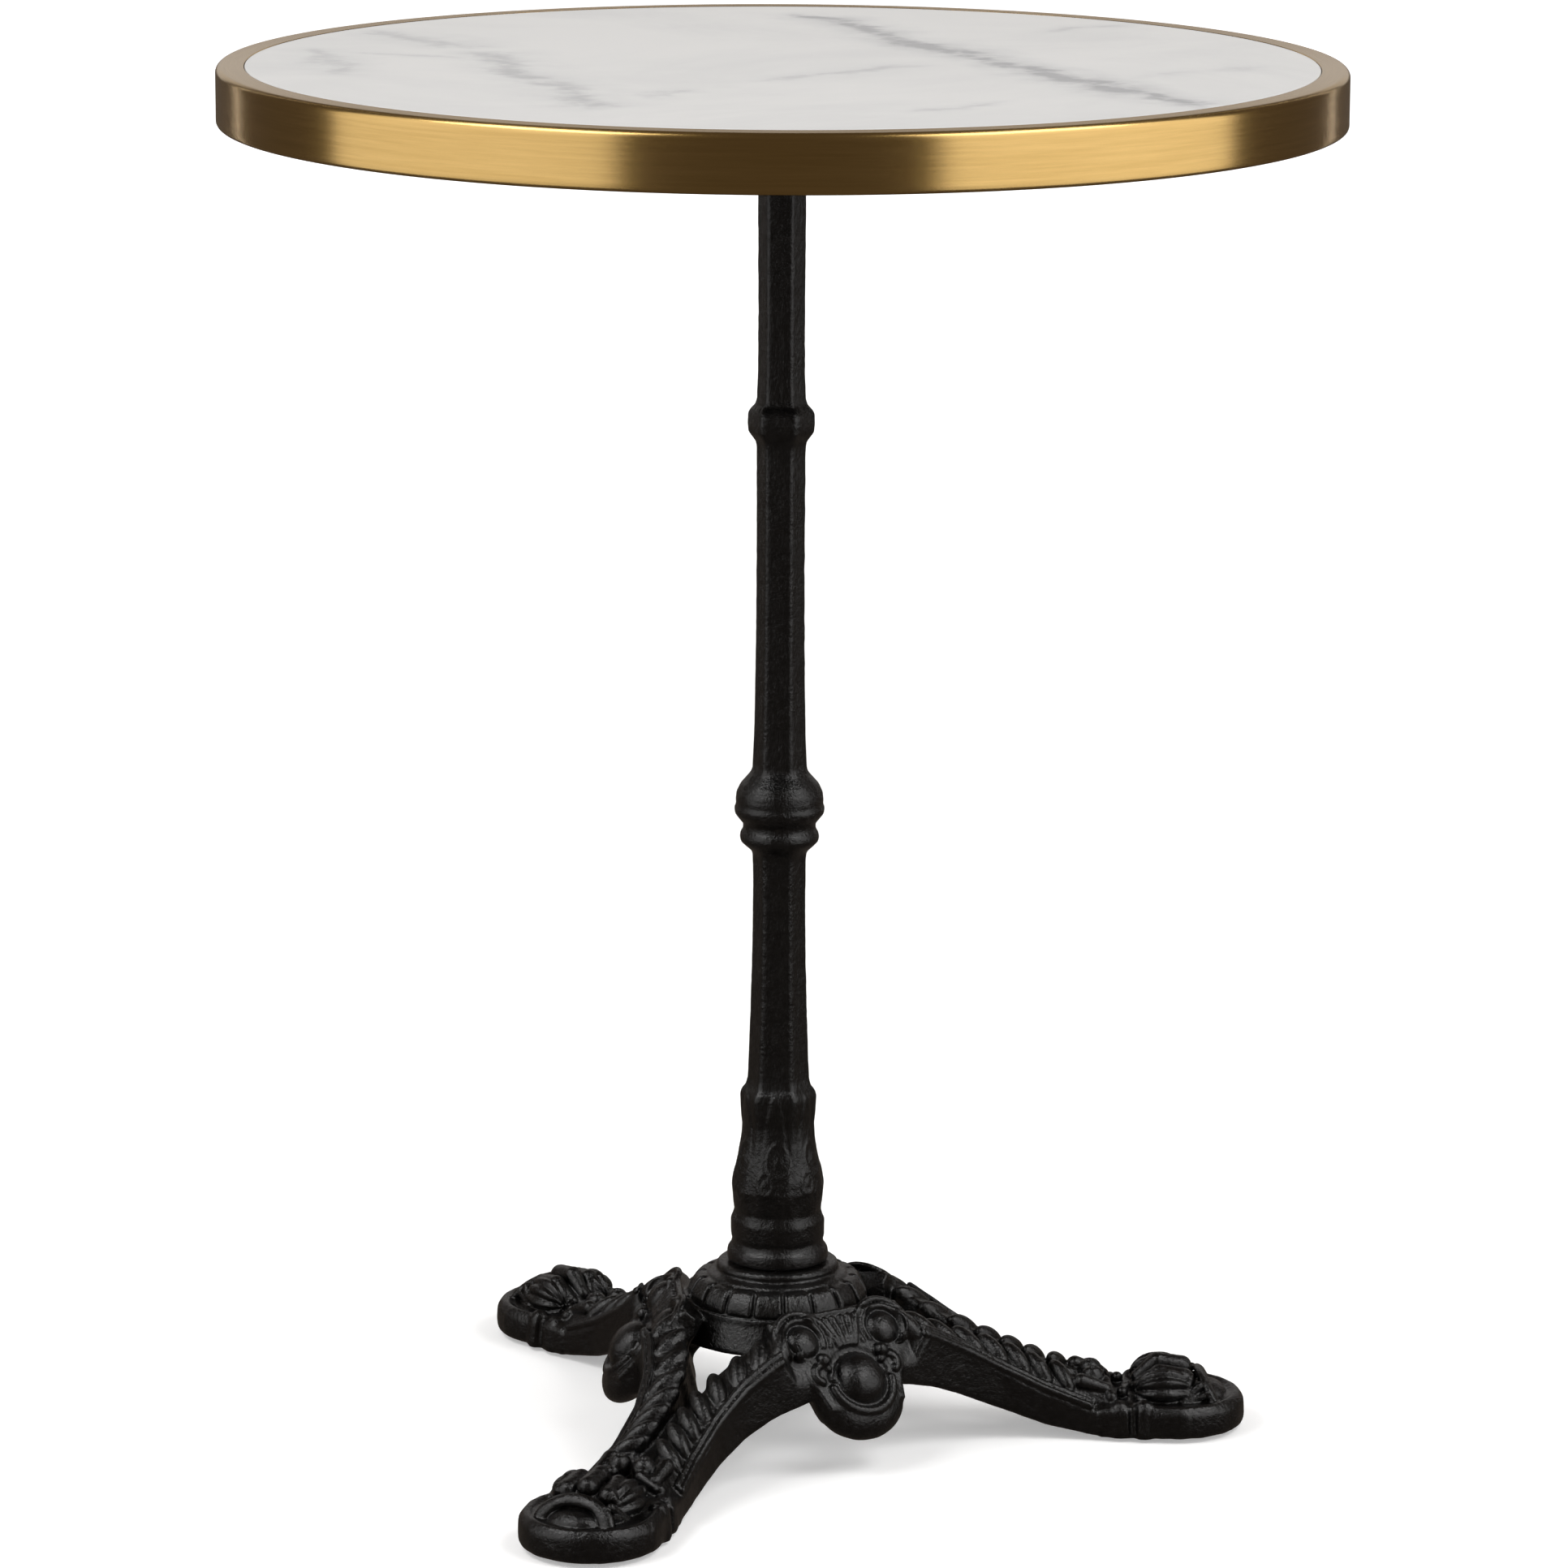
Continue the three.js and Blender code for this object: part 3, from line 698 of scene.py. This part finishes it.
def shoe_outline(x, y):
    """Plan of the horseshoe-shaped foot, with its waist towards the arms."""
    toe = np.sqrt((x - TOE_CENTRE) ** 2 + y ** 2) - TOE_RADIUS
    waist = np.interp(x, [150, 165, 184, 196, 210], [26, 27.5, 31.5, 33.5, 35.2])
    neck = np.maximum(y - waist, np.maximum(168 - x, x - 212))
    return smooth_min(toe, neck, 3.0)


def shoe(x, y, z):
    side = shoe_outline(x, y) - 0.6 + 0.05 * np.abs(z - 9)
    slab = np.abs(z - 10) - 8.0
    return smooth_max(side, slab, 4.5)


def shoe_rim(x, y, z):
    """A rounded bead round the top of the shoe."""
    gap = np.sqrt((shoe_outline(x, y) + 4.2) ** 2 + (z - 16.8) ** 2) - 2.7
    return smooth_max(gap, 187 - x, 2.0)


def shoe_floor(x, y, z):
    """The raised ground inside the bead, which carries the knob."""
    slab = np.abs(z - 12) - 5.0
    return smooth_max(shoe_outline(x, y) + 7, slab, 1.5)


def melon(centre, radii, ribs, depth):
    """A ball with ribs that run along X and meet at its two ends."""
    plain = ball(centre, radii)

    def shape(x, y, z):
        turn = np.arctan2((y - centre[1]) / radii[1], (z - centre[2]) / radii[2])
        wave = np.abs(np.sin(ribs * turn / 2))
        return plain(x, y, z) - depth * (wave - 0.6)
    return shape


def box_around(centre, radii):
    margin = 4.0
    low = [c - r - margin for c, r in zip(centre, radii)]
    high = [c + r + margin for c, r in zip(centre, radii)]
    return low, high


def add_ball(field, centre, radii, soft):
    field.add(ball(centre, radii), *box_around(centre, radii), soft)


def add_rod(field, start, end, radius, end_radius, soft):
    margin = max(radius, end_radius) + 4
    low = [min(a, b) - margin for a, b in zip(start, end)]
    high = [max(a, b) + margin for a, b in zip(start, end)]
    field.add(rod(start, end, radius, end_radius), low, high, soft)


def cut_rod(field, start, end, radius, soft):
    margin = radius + 3
    low = [min(a, b) - margin for a, b in zip(start, end)]
    high = [max(a, b) + margin for a, b in zip(start, end)]
    field.cut(rod(start, end, radius), low, high, soft)


def boss_lid(x, y, z):
    """A raised arch over the boss at the front of the knob, leaning back."""
    height = z - 16
    ring = np.sqrt((y / 1.5) ** 2 + height ** 2) - 12.4
    return smooth_max(np.sqrt(ring ** 2 + (x - 230 + 0.5 * height) ** 2) - 2.9, -height, 1)


def grow_foot(field):
    around = ([150, -5, 0], [252, 42, 48])
    field.add(shoe, *around, 2.5)
    field.add(shoe_floor, *around, 1.5)
    field.add(shoe_rim, *around, 1.2)
    # the body of the knob, with a ribbed shell on each side of it
    add_ball(field, (205, 0, 14), (21, 19.5, 18), 1.2)
    shell, size = (203, 13.5, 22.5), (15, 10.5, 12)
    field.add(melon(shell, size, 10, 2.0), *box_around(shell, size), 0.7)
    # three toes over the top of the knob
    for across, high in ((0, 34.4), (11.5, 31)):
        add_rod(field, (190.5, across * 0.6, high - 8), (201, across * 0.9, high), 3.4, 5.0, 0.5)
        add_rod(field, (201, across * 0.9, high), (213.5, across, high - 2.6), 5.0, 5.7, 0.5)
    # the boss at the front under its lid, and leaf rays beside it
    field.add(boss_lid, *around, 1.0)
    cut_rod(field, (231, -6, 23.5), (231, 7, 22.5), 4.6, 1.5)
    add_ball(field, (228, 0, 17), (9.5, 14.5, 7.4), 0.4)
    for x, y, z in ((216, 15.5, 29), (221.5, 17, 26), (226.5, 18, 22)):
        add_rod(field, (211.5, 21.5, 17.5), (x, y, z), 1.4, 2.3, 0.6)
    # the notch between knob and instep with its bead
    cut_rod(field, (180, -2, 24.5), (180, 19, 23), 4.0, 1.5)
    add_ball(field, (181, 13, 22), (3.2, 3.2, 3.2), 0.8)
    # the two knuckles on the side of the shoe, and the cleft between them
    add_rod(field, (178, 25.5, 5), (178.5, 25, 16), 5.8, 5.2, 1.5)
    add_rod(field, (191, 28.6, 5), (191, 27.6, 16.5), 6.0, 5.4, 1.5)
    cut_rod(field, (184.7, 33.2, 1), (184.5, 30.5, 24), 2.3, 1.2)
    # the curl on the instep, where the two ropes end
    add_ball(field, (166, 6.8, 28.5), (6.4, 6, 6.5), 0.8)
    cut_rod(field, (166, 6.8, 34), (166, 6.8, 37), 1.8, 0.8)
    add_rod(field, (159, 15.5, 29), (171.5, 16, 25), 4.4, 3.4, 0.8)
    add_rod(field, (172, 8, 26.5), (174.5, 20, 21.5), 3.2, 3.4, 0.8)


def instep(x, y, z):
    """The solid between the two arms, towards the foot."""
    top = np.interp(x, [100, 112, 140, 165, 176, 186], [39, 40, 30, 24, 21, 19])
    low = np.interp(x, [100, 140, 160, 186], [25, 9, 4, 4])
    wide = np.interp(x, [100, 140, 186], [8, 14, 24])
    slab = np.maximum(z - top, low - z) * 0.88
    ends = np.maximum(101 - x, x - 188)
    return smooth_max(smooth_max(slab, y - wide, 2), ends, 3)


# The ornament between two legs lies on a sloping plate: across it, down from its top edge, and out of it
PLATE_TOP = (56.5, 74.1)
PLATE_DOWN = (0.637, -0.771)
PLATE_OUT = (0.771, 0.637)


def on_plate(shape):
    def placed(x, y, z):
        radial = x * math.cos(HALF_TURN) + y * math.sin(HALF_TURN) - PLATE_TOP[0]
        across = np.abs(-x * math.sin(HALF_TURN) + y * math.cos(HALF_TURN))
        lift = z - PLATE_TOP[1]
        down = radial * PLATE_DOWN[0] + lift * PLATE_DOWN[1]
        out = radial * PLATE_OUT[0] + lift * PLATE_OUT[1]
        return shape(across, down, out)
    return placed


ORNAMENT_BOX = ([15, 20, 15], [75, 105, 96])


def plate_body(t, s, n):
    wide = np.interp(s, [-6, 12, 22, 48], [40, 42, 30, 23])
    flat = np.maximum(np.abs(s - 20) - 27, t - wide)
    return smooth_max(flat, np.abs(n + 8) - 7.0, 2.5)


def plate_web(t, s, n):
    flat = smooth_max(t - 22, np.abs(s - 5) - 9, 2)
    return smooth_max(flat, np.abs(n + 14) - 11, 2)


def plate_arc(centre, radius, start, end, tube, lift):
    """A raised arc on the plate. Angles in degrees, from straight across, towards the top."""
    start, end = math.radians(start), math.radians(end)
    middle, half = (start + end) / 2, (end - start) / 2

    def shape(t, s, n):
        du, dv = t - centre[0], -(s - centre[1])
        turn = np.arctan2(dv, du) - middle
        turn = (turn + math.pi) % (2 * math.pi) - math.pi
        off = np.clip(np.abs(turn) - half, 0, None)
        away = np.sqrt(du ** 2 + dv ** 2)
        flat = np.sqrt((away - radius) ** 2 + (off * radius) ** 2)
        return np.sqrt(flat ** 2 + (n - lift) ** 2) - tube
    return shape


def grow_ornament(field):
    def add(shape, soft):
        field.add(on_plate(shape), *ORNAMENT_BOX, soft)

    def cut(shape, soft):
        field.cut(on_plate(shape), *ORNAMENT_BOX, soft)

    add(plate_body, 3.0)
    # web from the plate back to the hub, and the rounded pendant below the ball
    add(plate_web, 3.0)
    add(ball((0, 40, -9.5), (26, 22.5, 12.5)), 2.0)
    # volutes: two raised arcs round a domed button
    cut(ball((25, 7, 3.0), (12, 12, 6.0)), 1.0)
    add(plate_arc((25, 7), 11.8, -40, 205, 1.7, -0.4), 0.6)
    add(plate_arc((25, 7), 15.8, -10, 200, 1.7, -0.7), 0.6)
    add(ball((25, 7.5, -2.0), (9.4, 9.4, 5.8)), 0.6)
    # palmette: curved flutes that fan out between the volutes, under a lip
    for tip in (2.2, 6.2, 9.8):
        add(rod((tip * 0.3, 19.5, -1.2), (tip * 0.7, 9, -0.2), 1.3, 1.9), 0.4)
        add(rod((tip * 0.7, 9, -0.2), (tip * 1.15, -2, -1.0), 1.9, 2.1), 0.4)
    add(rod((0, -6, -1.6), (16, -6, -1.6), 1.7), 0.8)
    # the ball, with a dark groove over it and a cupped lip below
    cut(plate_arc((0, 33), 16.6, 12, 168, 3.0, 1.5), 0.8)
    cut(plate_arc((0, 33), 15.2, 185, 355, 1.5, 2.0), 0.6)
    add(ball((0, 33, -0.5), (13.7, 13.7, 9.6)), 0.5)
    add(plate_arc((0, 33), 18.2, 188, 352, 2.3, 0.2), 0.6)
    # a berry and a small leaf on each side of the ball
    add(ball((18, 19.5, 0.6), (3.9, 3.9, 3.9)), 0.6)
    add(plate_arc((20.5, 26.5), 4.6, -60, 150, 2.2, -0.4), 0.6)


# Hub outline: neck, shoulder, crown and skirt, hollow underneath
HUB_OUTLINE = [
    (6.2, 94), (29.6, 94.2), (31.2, 93.4), (32, 91.8), (31.4, 90.2), (32.6, 89.2), (35.6, 88.2),
    (37.2, 86.4), (38.6, 85.8), (41.5, 83), (43.8, 79), (45.0, 76.5), (45.2, 74.5), (47.2, 73.6),
    (47.4, 71.6), (47.6, 70), (50.2, 64), (52.8, 58.2), (52.9, 56.4), (51.8, 55.8), (49, 56),
    (45.5, 70), (41, 79), (6.2, 80.3),
]
CROWN_BLOCKS = 18


def hub_body(x, y, z):
    radius = np.sqrt(x ** 2 + y ** 2)
    fine = np.arange(0, 64.1, 0.4, dtype=np.float32)
    heights = z[0, 0, :]
    table = polygon_distance(HUB_OUTLINE, fine[:, None], heights[None, :])
    place = np.clip(radius[:, :, 0] / 0.4, 0, len(fine) - 1.001)
    first = place.astype(int)
    share = (place - first)[:, :, None]
    return table[first] * (1 - share) + table[first + 1] * share


def crown_blocks(x, y, z):
    """Blocks round the hub with sloping, rounded fronts and narrow joints between them."""
    radius = np.sqrt(x ** 2 + y ** 2)
    pitch = 2 * math.pi / CROWN_BLOCKS
    turn = np.arctan2(y, x)
    turn = (turn + pitch / 2) % pitch - pitch / 2
    u, v = radius * np.cos(turn), radius * np.sin(turn)
    front = u - 46.7 + 0.042 * np.maximum(z - 75, 0) ** 2
    side = np.abs(v) - np.tan(pitch / 2) * u + 0.75
    block = smooth_max(front * 0.85, side, 2.2)
    return smooth_max(block, np.abs(z - 80.6) - 6.2, 1.8)


def glide_recess(x, y, z):
    away = np.sqrt((x - TOE_CENTRE) ** 2 + y ** 2)
    pocket = np.maximum(away - 17, z - 7.5)
    thread = np.maximum(away - 4.3, z - 33)
    return np.minimum(pocket, thread)


def grow_base():
    edge = 3 * BASE_STEP
    field = Field((-edge, -edge, 0), (BASE_REACH, 112, BASE_HIGH), BASE_STEP, fold_to_half_leg)
    field.add(arm_body, [20, -5, 0], [190, 112, 92], 0)
    field.add(instep, [96, -5, 0], [192, 30, 50], 3.0)
    field.add(line_on_arm(1.3, -0.4, 1.8), [56, 10, 10], [168, 70, 88], 0.6)
    field.add(line_on_arm(4.0, 1.5, 1.5), [56, 10, 10], [168, 70, 88], 0.4)
    grow_rope(field)
    grow_foot(field)
    field.add(hub_body, [-edge, -5, 50], [56, 60, 100], 2.0)
    field.add(crown_blocks, [-edge, -5, 70], [56, 60, 92], 0.4)
    grow_ornament(field)
    field.cut(glide_recess, [190, -5, 0], [232, 24, 36], 0)
    field.cut(lambda x, y, z: z - FLOOR_CLEARANCE, [-edge, -5, 0], [BASE_REACH, 112, 6], 0)
    return field.surface()


def bisected(mesh, normal):
    """Removes what lies beyond the vertical plane through the Z axis with this outward normal."""
    shape = bmesh.new()
    shape.from_mesh(mesh)
    whole = shape.verts[:] + shape.edges[:] + shape.faces[:]
    bmesh.ops.bisect_plane(
        shape, geom=whole, dist=1e-7, plane_co=(0, 0, 0), plane_no=normal, clear_outer=True)
    shape.to_mesh(mesh)
    shape.free()


def repeated(mesh, turns):
    """One mesh made of turned copies, each also mirrored in the XZ plane, with their seams welded."""
    count = len(mesh.vertices)
    vertices = np.empty(count * 3)
    mesh.vertices.foreach_get("co", vertices)
    vertices = vertices.reshape(-1, 3)
    faces = [tuple(p.vertices) for p in mesh.polygons]
    all_vertices, all_faces = [], []
    for turn in turns:
        c, s = math.cos(turn), math.sin(turn)
        for flip in (1, -1):
            x, y = vertices[:, 0], vertices[:, 1] * flip
            start = len(all_vertices) * count
            all_vertices.append(np.stack([c * x - s * y, s * x + c * y, vertices[:, 2]], -1))
            all_faces += [tuple(start + i for i in face[::flip]) for face in faces]
    whole = bpy.data.meshes.new(mesh.name)
    whole.from_pydata(np.concatenate(all_vertices).tolist(), [], all_faces)
    weld(whole, 0.00002)
    whole.polygons.foreach_set("use_smooth", [True] * len(whole.polygons))
    return whole


def make_base(material):
    vertices, faces = grow_base()
    half = smooth_mesh("base_half", vertices, faces)
    bisected(half, (0, -1, 0))
    bisected(half, (-math.sin(HALF_TURN), math.cos(HALF_TURN), 0))
    turns = [LEG_TURN + 2 * math.pi * i / LEGS for i in range(LEGS)]
    mesh = repeated(half, turns)
    mesh.name = "tripod_base_casting"
    roughen(mesh, 0.00014, 0.0055)
    piece = link_object("tripod_base_casting", mesh, material)
    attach(piece, "table")
    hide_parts("tripod_base")


def lattice_noise(points, size, seed):
    """Smooth noise from -1 to 1 at points in metres, with bumps of about the given size.

    Each lattice point's value comes from its whole-number place mixed with large primes."""
    spot = points / size + 1000.5
    cell = np.floor(spot).astype(np.int64)
    share = spot - cell
    share = share * share * (3 - 2 * share)
    total = np.zeros(len(points))
    for corner in CORNERS:
        at = cell + np.array(corner)
        mixed = (at[:, 0] * 73856093) ^ (at[:, 1] * 19349663) ^ (at[:, 2] * 83492791)
        mixed = mixed ^ (seed * 2654435761)
        mixed = (mixed ^ (mixed >> 13)) * 1274126177 & 0x7FFFFFFF
        value = (mixed ^ (mixed >> 16)) % 65536 / 32768 - 1
        weight = np.prod(np.where(np.array(corner) == 1, share, 1 - share), 1)
        total += value * weight
    return total


def roughen(mesh, depth, size):
    """Moves the surface a little in and out, as sand casting leaves it."""
    count = len(mesh.vertices)
    spots = np.empty(count * 3)
    normals = np.empty(count * 3)
    mesh.vertices.foreach_get("co", spots)
    mesh.vertex_normals.foreach_get("vector", normals)
    spots, normals = spots.reshape(-1, 3), normals.reshape(-1, 3)
    shift = depth * lattice_noise(spots, size, 1) + 0.45 * depth * lattice_noise(spots, size / 3, 2)
    moved = spots + normals * shift[:, None]
    mesh.vertices.foreach_set("co", moved.ravel())
    mesh.update()


# ---------------------------------------------------------------- column casting

# Height and outline radius up the column, and how far it is hexagonal (1) or round (0)
COLUMN_OUTLINE = [
    # vase-shaped foot
    (94.6, 25.2), (95.4, 26.4), (98.6, 26.4), (101.2, 25.9), (103.2, 24.4), (105.5, 23.9), (108, 24.6),
    (116.5, 24.7), (119, 23.6), (121.5, 22.8), (127, 23.4), (134, 24.2), (141, 23.4), (151, 21.4),
    (161, 19.8), (168, 19.4), (175, 20.1), (183, 20.6), (185.4, 20.0), (188.5, 17.3),
    # lower shaft
    (192, 16.4), (204, 15.8), (226, 15.0), (258, 14.2), (287, 13.8), (303, 13.9), (312, 14.2),
    # knot
    (313.6, 15.0), (316, 17.4), (318.5, 20.0), (321, 20.6), (323.4, 20.2), (325.4, 18.9), (328.2, 18.9),
    (331, 21.2), (333.4, 23.0), (336.2, 23.4), (338.2, 22.6), (341, 22.7), (344.5, 22.3), (348.8, 20.2),
    (352.2, 17.2), (354.6, 15.2),
    # middle shaft
    (357, 14.3), (375, 13.5), (410, 12.9), (461, 12.6), (522, 12.75),
    # collar
    (525, 12.9), (527.4, 13.4), (530.2, 15.6), (532.4, 17.1), (536.8, 17.6), (541.6, 17.4), (543.8, 16.3),
    (546.4, 13.7),
    # upper shaft
    (549.4, 12.7), (560, 12.3), (587, 12.1), (652, 12.5), (673.9, 12.5),
]
HEXAGONAL = [
    (94, 0), (103, 0.1), (107, 0.35), (118, 0.35), (124, 0.25), (150, 0.5), (165, 0.8), (188, 1),
    (310, 1), (316, 0.1), (354, 0.1), (358, 1), (680, 1),
]
FLAT_TURN = math.radians(-95)


def blurred(values, width):
    kernel = np.hanning(2 * width + 3)
    kernel /= kernel.sum()
    padded = np.pad(values, width + 1, mode="edge")
    return np.convolve(padded, kernel, "valid")


def leaf_relief(turn, height):
    """Low relief on the vase: a pointed leaf on each flat, with scrolls across its middle."""
    sector = math.pi / 3
    local = (turn - FLAT_TURN + sector / 2) % sector - sector / 2
    across = local * 22.0
    down = 187.0 - height
    inside = (down > 0) & (down < 66)
    edge = 9.8 * np.clip(down / 62, 0, 1) ** 0.45
    leaf = 1 / (1 + np.exp((np.abs(across) - edge) / 0.45))
    scrolls = 0.0
    for side, low, size, height_share in ((2.6, 35, 6.5, 1.0), (-4.5, 47, 4.2, 0.8), (4.5, 53, 3.4, 0.7)):
        du, dv = across - side, (down - low) * 0.75
        ring = np.sqrt(du ** 2 + dv ** 2)
        opening = 1 / (1 + np.exp(-(dv * 0.8 - du + size * 0.9) / 0.8))
        scrolls = scrolls + height_share * opening * np.exp(-((ring - size) / 1.1) ** 2)
        scrolls = scrolls + height_share * np.exp(-(ring / (size * 0.35)) ** 2)
    fade = np.clip(down / 2, 0, 1) * np.clip((66 - down) / 5, 0, 1)
    return inside * fade * (0.6 * leaf - 0.3 + 0.5 * np.minimum(scrolls, 1.2))


def make_column(material):
    around = 216
    outline = np.array(COLUMN_OUTLINE)
    step = 0.6
    low, high = outline[0, 0], outline[-1, 0]
    levels = np.arange(low, high + step / 2, step)
    plain = blurred(np.interp(levels, outline[:, 0], outline[:, 1]), 1)
    share = blurred(np.interp(levels, *np.array(HEXAGONAL).T), 3)
    turns = np.linspace(0, 2 * math.pi, around, endpoint=False)
    turn, height = np.meshgrid(turns, levels)
    sharp = 18.0
    flats = sum(np.abs(np.cos(turn - FLAT_TURN - k * math.pi / 3)) ** sharp for k in range(3))
    hexagon = math.cos(math.pi / 6) / flats ** (1 / sharp) * 1.02
    radius = plain[:, None] * (share[:, None] * hexagon + (1 - share[:, None]))
    radius += leaf_relief(turn, height)
    x, y = radius * np.cos(turn), radius * np.sin(turn)
    vertices = np.stack([x, y, height], -1).reshape(-1, 3).tolist()
    rows = len(levels)
    faces = []
    for i in range(rows - 1):
        for j in range(around):
            k = (j + 1) % around
            faces.append((i * around + j, i * around + k, (i + 1) * around + k, (i + 1) * around + j))
    faces.append(tuple(range(around))[::-1])
    faces.append(tuple((rows - 1) * around + j for j in range(around)))
    mesh = smooth_mesh("column_casting", vertices, faces)
    roughen(mesh, 0.00014, 0.008)
    piece = link_object("column_casting", mesh, material)
    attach(piece, "table")
    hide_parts("column")


# ---------------------------------------------------------------- table top

RIM_LIP = 14.3
RIM_FLANGE = 17
RIM_WALL = 1.5
LIP_INNER = TOP_RADIUS - RIM_LIP
MARBLE_THICKNESS = 11.7
TOP_SEGMENTS = 288


def make_rim(material):
    """The folded band: lip over the top, upright face with rounded edges, flange underneath."""
    outer, inner, flange = TOP_RADIUS, TOP_RADIUS - RIM_WALL, TOP_RADIUS - RIM_FLANGE
    top, low = TABLE_HEIGHT, RIM_BOTTOM
    under_lip, over_flange = top - RIM_WALL, low + RIM_WALL
    top_round, low_round, lip_round = 3.2, 1.8, 0.35
    outline = [(LIP_INNER, under_lip), (inner - 2.5, under_lip), (inner, top - 4), (inner, low + 2.5)]
    outline += [(inner - 1, over_flange), (flange, over_flange), (flange, low)]
    outline += arc((outer - low_round, low + low_round), low_round, -90, 0, 6)
    outline += [(outer, low + 4), (outer, low + 14), (outer, top - 6)]
    outline += arc((outer - top_round, top - top_round), top_round, 0, 90, 9)
    outline += [(outer - 6, top), (LIP_INNER + 1, top)]
    outline += arc((LIP_INNER + lip_round, top - lip_round), lip_round, 90, 180, 3)
    mesh = revolve("rim_band", outline, TOP_SEGMENTS)
    piece = link_object("rim_band", mesh, material)
    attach(piece, "table")
    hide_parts("brass_rim")


def make_marble(material):
    top, bottom = TABLE_HEIGHT - 0.05, TABLE_HEIGHT - MARBLE_THICKNESS
    radius = LIP_INNER - 0.35
    edge_round = 0.6
    outline = [(NEAR_AXIS, bottom), (radius, bottom), (radius, top - 0.8)]
    outline += arc((radius - edge_round, top - edge_round), edge_round, 0, 90, 4)
    outline += [(radius - 3, top), (radius * 0.66, top), (radius * 0.33, top), (NEAR_AXIS, top)]
    mesh = revolve("marble_slab", outline, TOP_SEGMENTS, closed=False)
    weld(mesh, 0.00001)
    piece = link_object("marble_slab", mesh, material)
    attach(piece, "table")
    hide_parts("marble_top")


def paint_node(node, material):
    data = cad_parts[node].data
    data.materials.clear()
    data.materials.append(material)


def make_floor(material):
    """A round floor, 14 m in radius, that curves up into a low wall all round."""
    cove = 2500
    wall = 14000
    outline = [(NEAR_AXIS, 0), (400, 0), (1500, 0), (6000, 0)]
    outline += arc((wall - cove, cove), cove, -90, 0, 12) + [(wall, cove + 1000)]
    mesh = revolve("floor", outline, 96, closed=False)
    weld(mesh, 0.001)
    floor = link_object("floor", mesh, material)
    floor.visible_glossy = False


make_camera()
make_studio()
iron = cast_iron_paint()
brass = brushed_brass()
marble = veined_marble()
steel = plain_with_grain("zinc_plated_steel", (0.5, 0.5, 0.51), (0.62, 0.62, 0.62), 300, 0.25, 0.42, 1.0)
plastic = plain_with_grain("black_plastic", grey(0.012), grey(0.02), 500, 0.45, 0.62)
board = plain_with_grain("sealed_board", (0.03, 0.027, 0.025), (0.045, 0.04, 0.037), 120, 0.55, 0.75)
brass_screw = plain_with_grain("plain_brass", (0.5, 0.33, 0.12), (0.6, 0.4, 0.15), 300, 0.28, 0.42, 1.0)

make_floor(floor_paper())
make_base(iron)
make_column(iron)
make_rim(brass)
make_marble(marble)

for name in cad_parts:
    if name.startswith("rim_screw"):
        paint_node(name, brass_screw)
    elif name.startswith(("spider_screw", "tie_rod", "upper_", "lower_", "glide_stud")):
        paint_node(name, steel)
    elif name.startswith("glide_foot"):
        paint_node(name, plastic)
    elif name == "top_spider":
        paint_node(name, iron)
    elif name == "backing_board":
        paint_node(name, board)
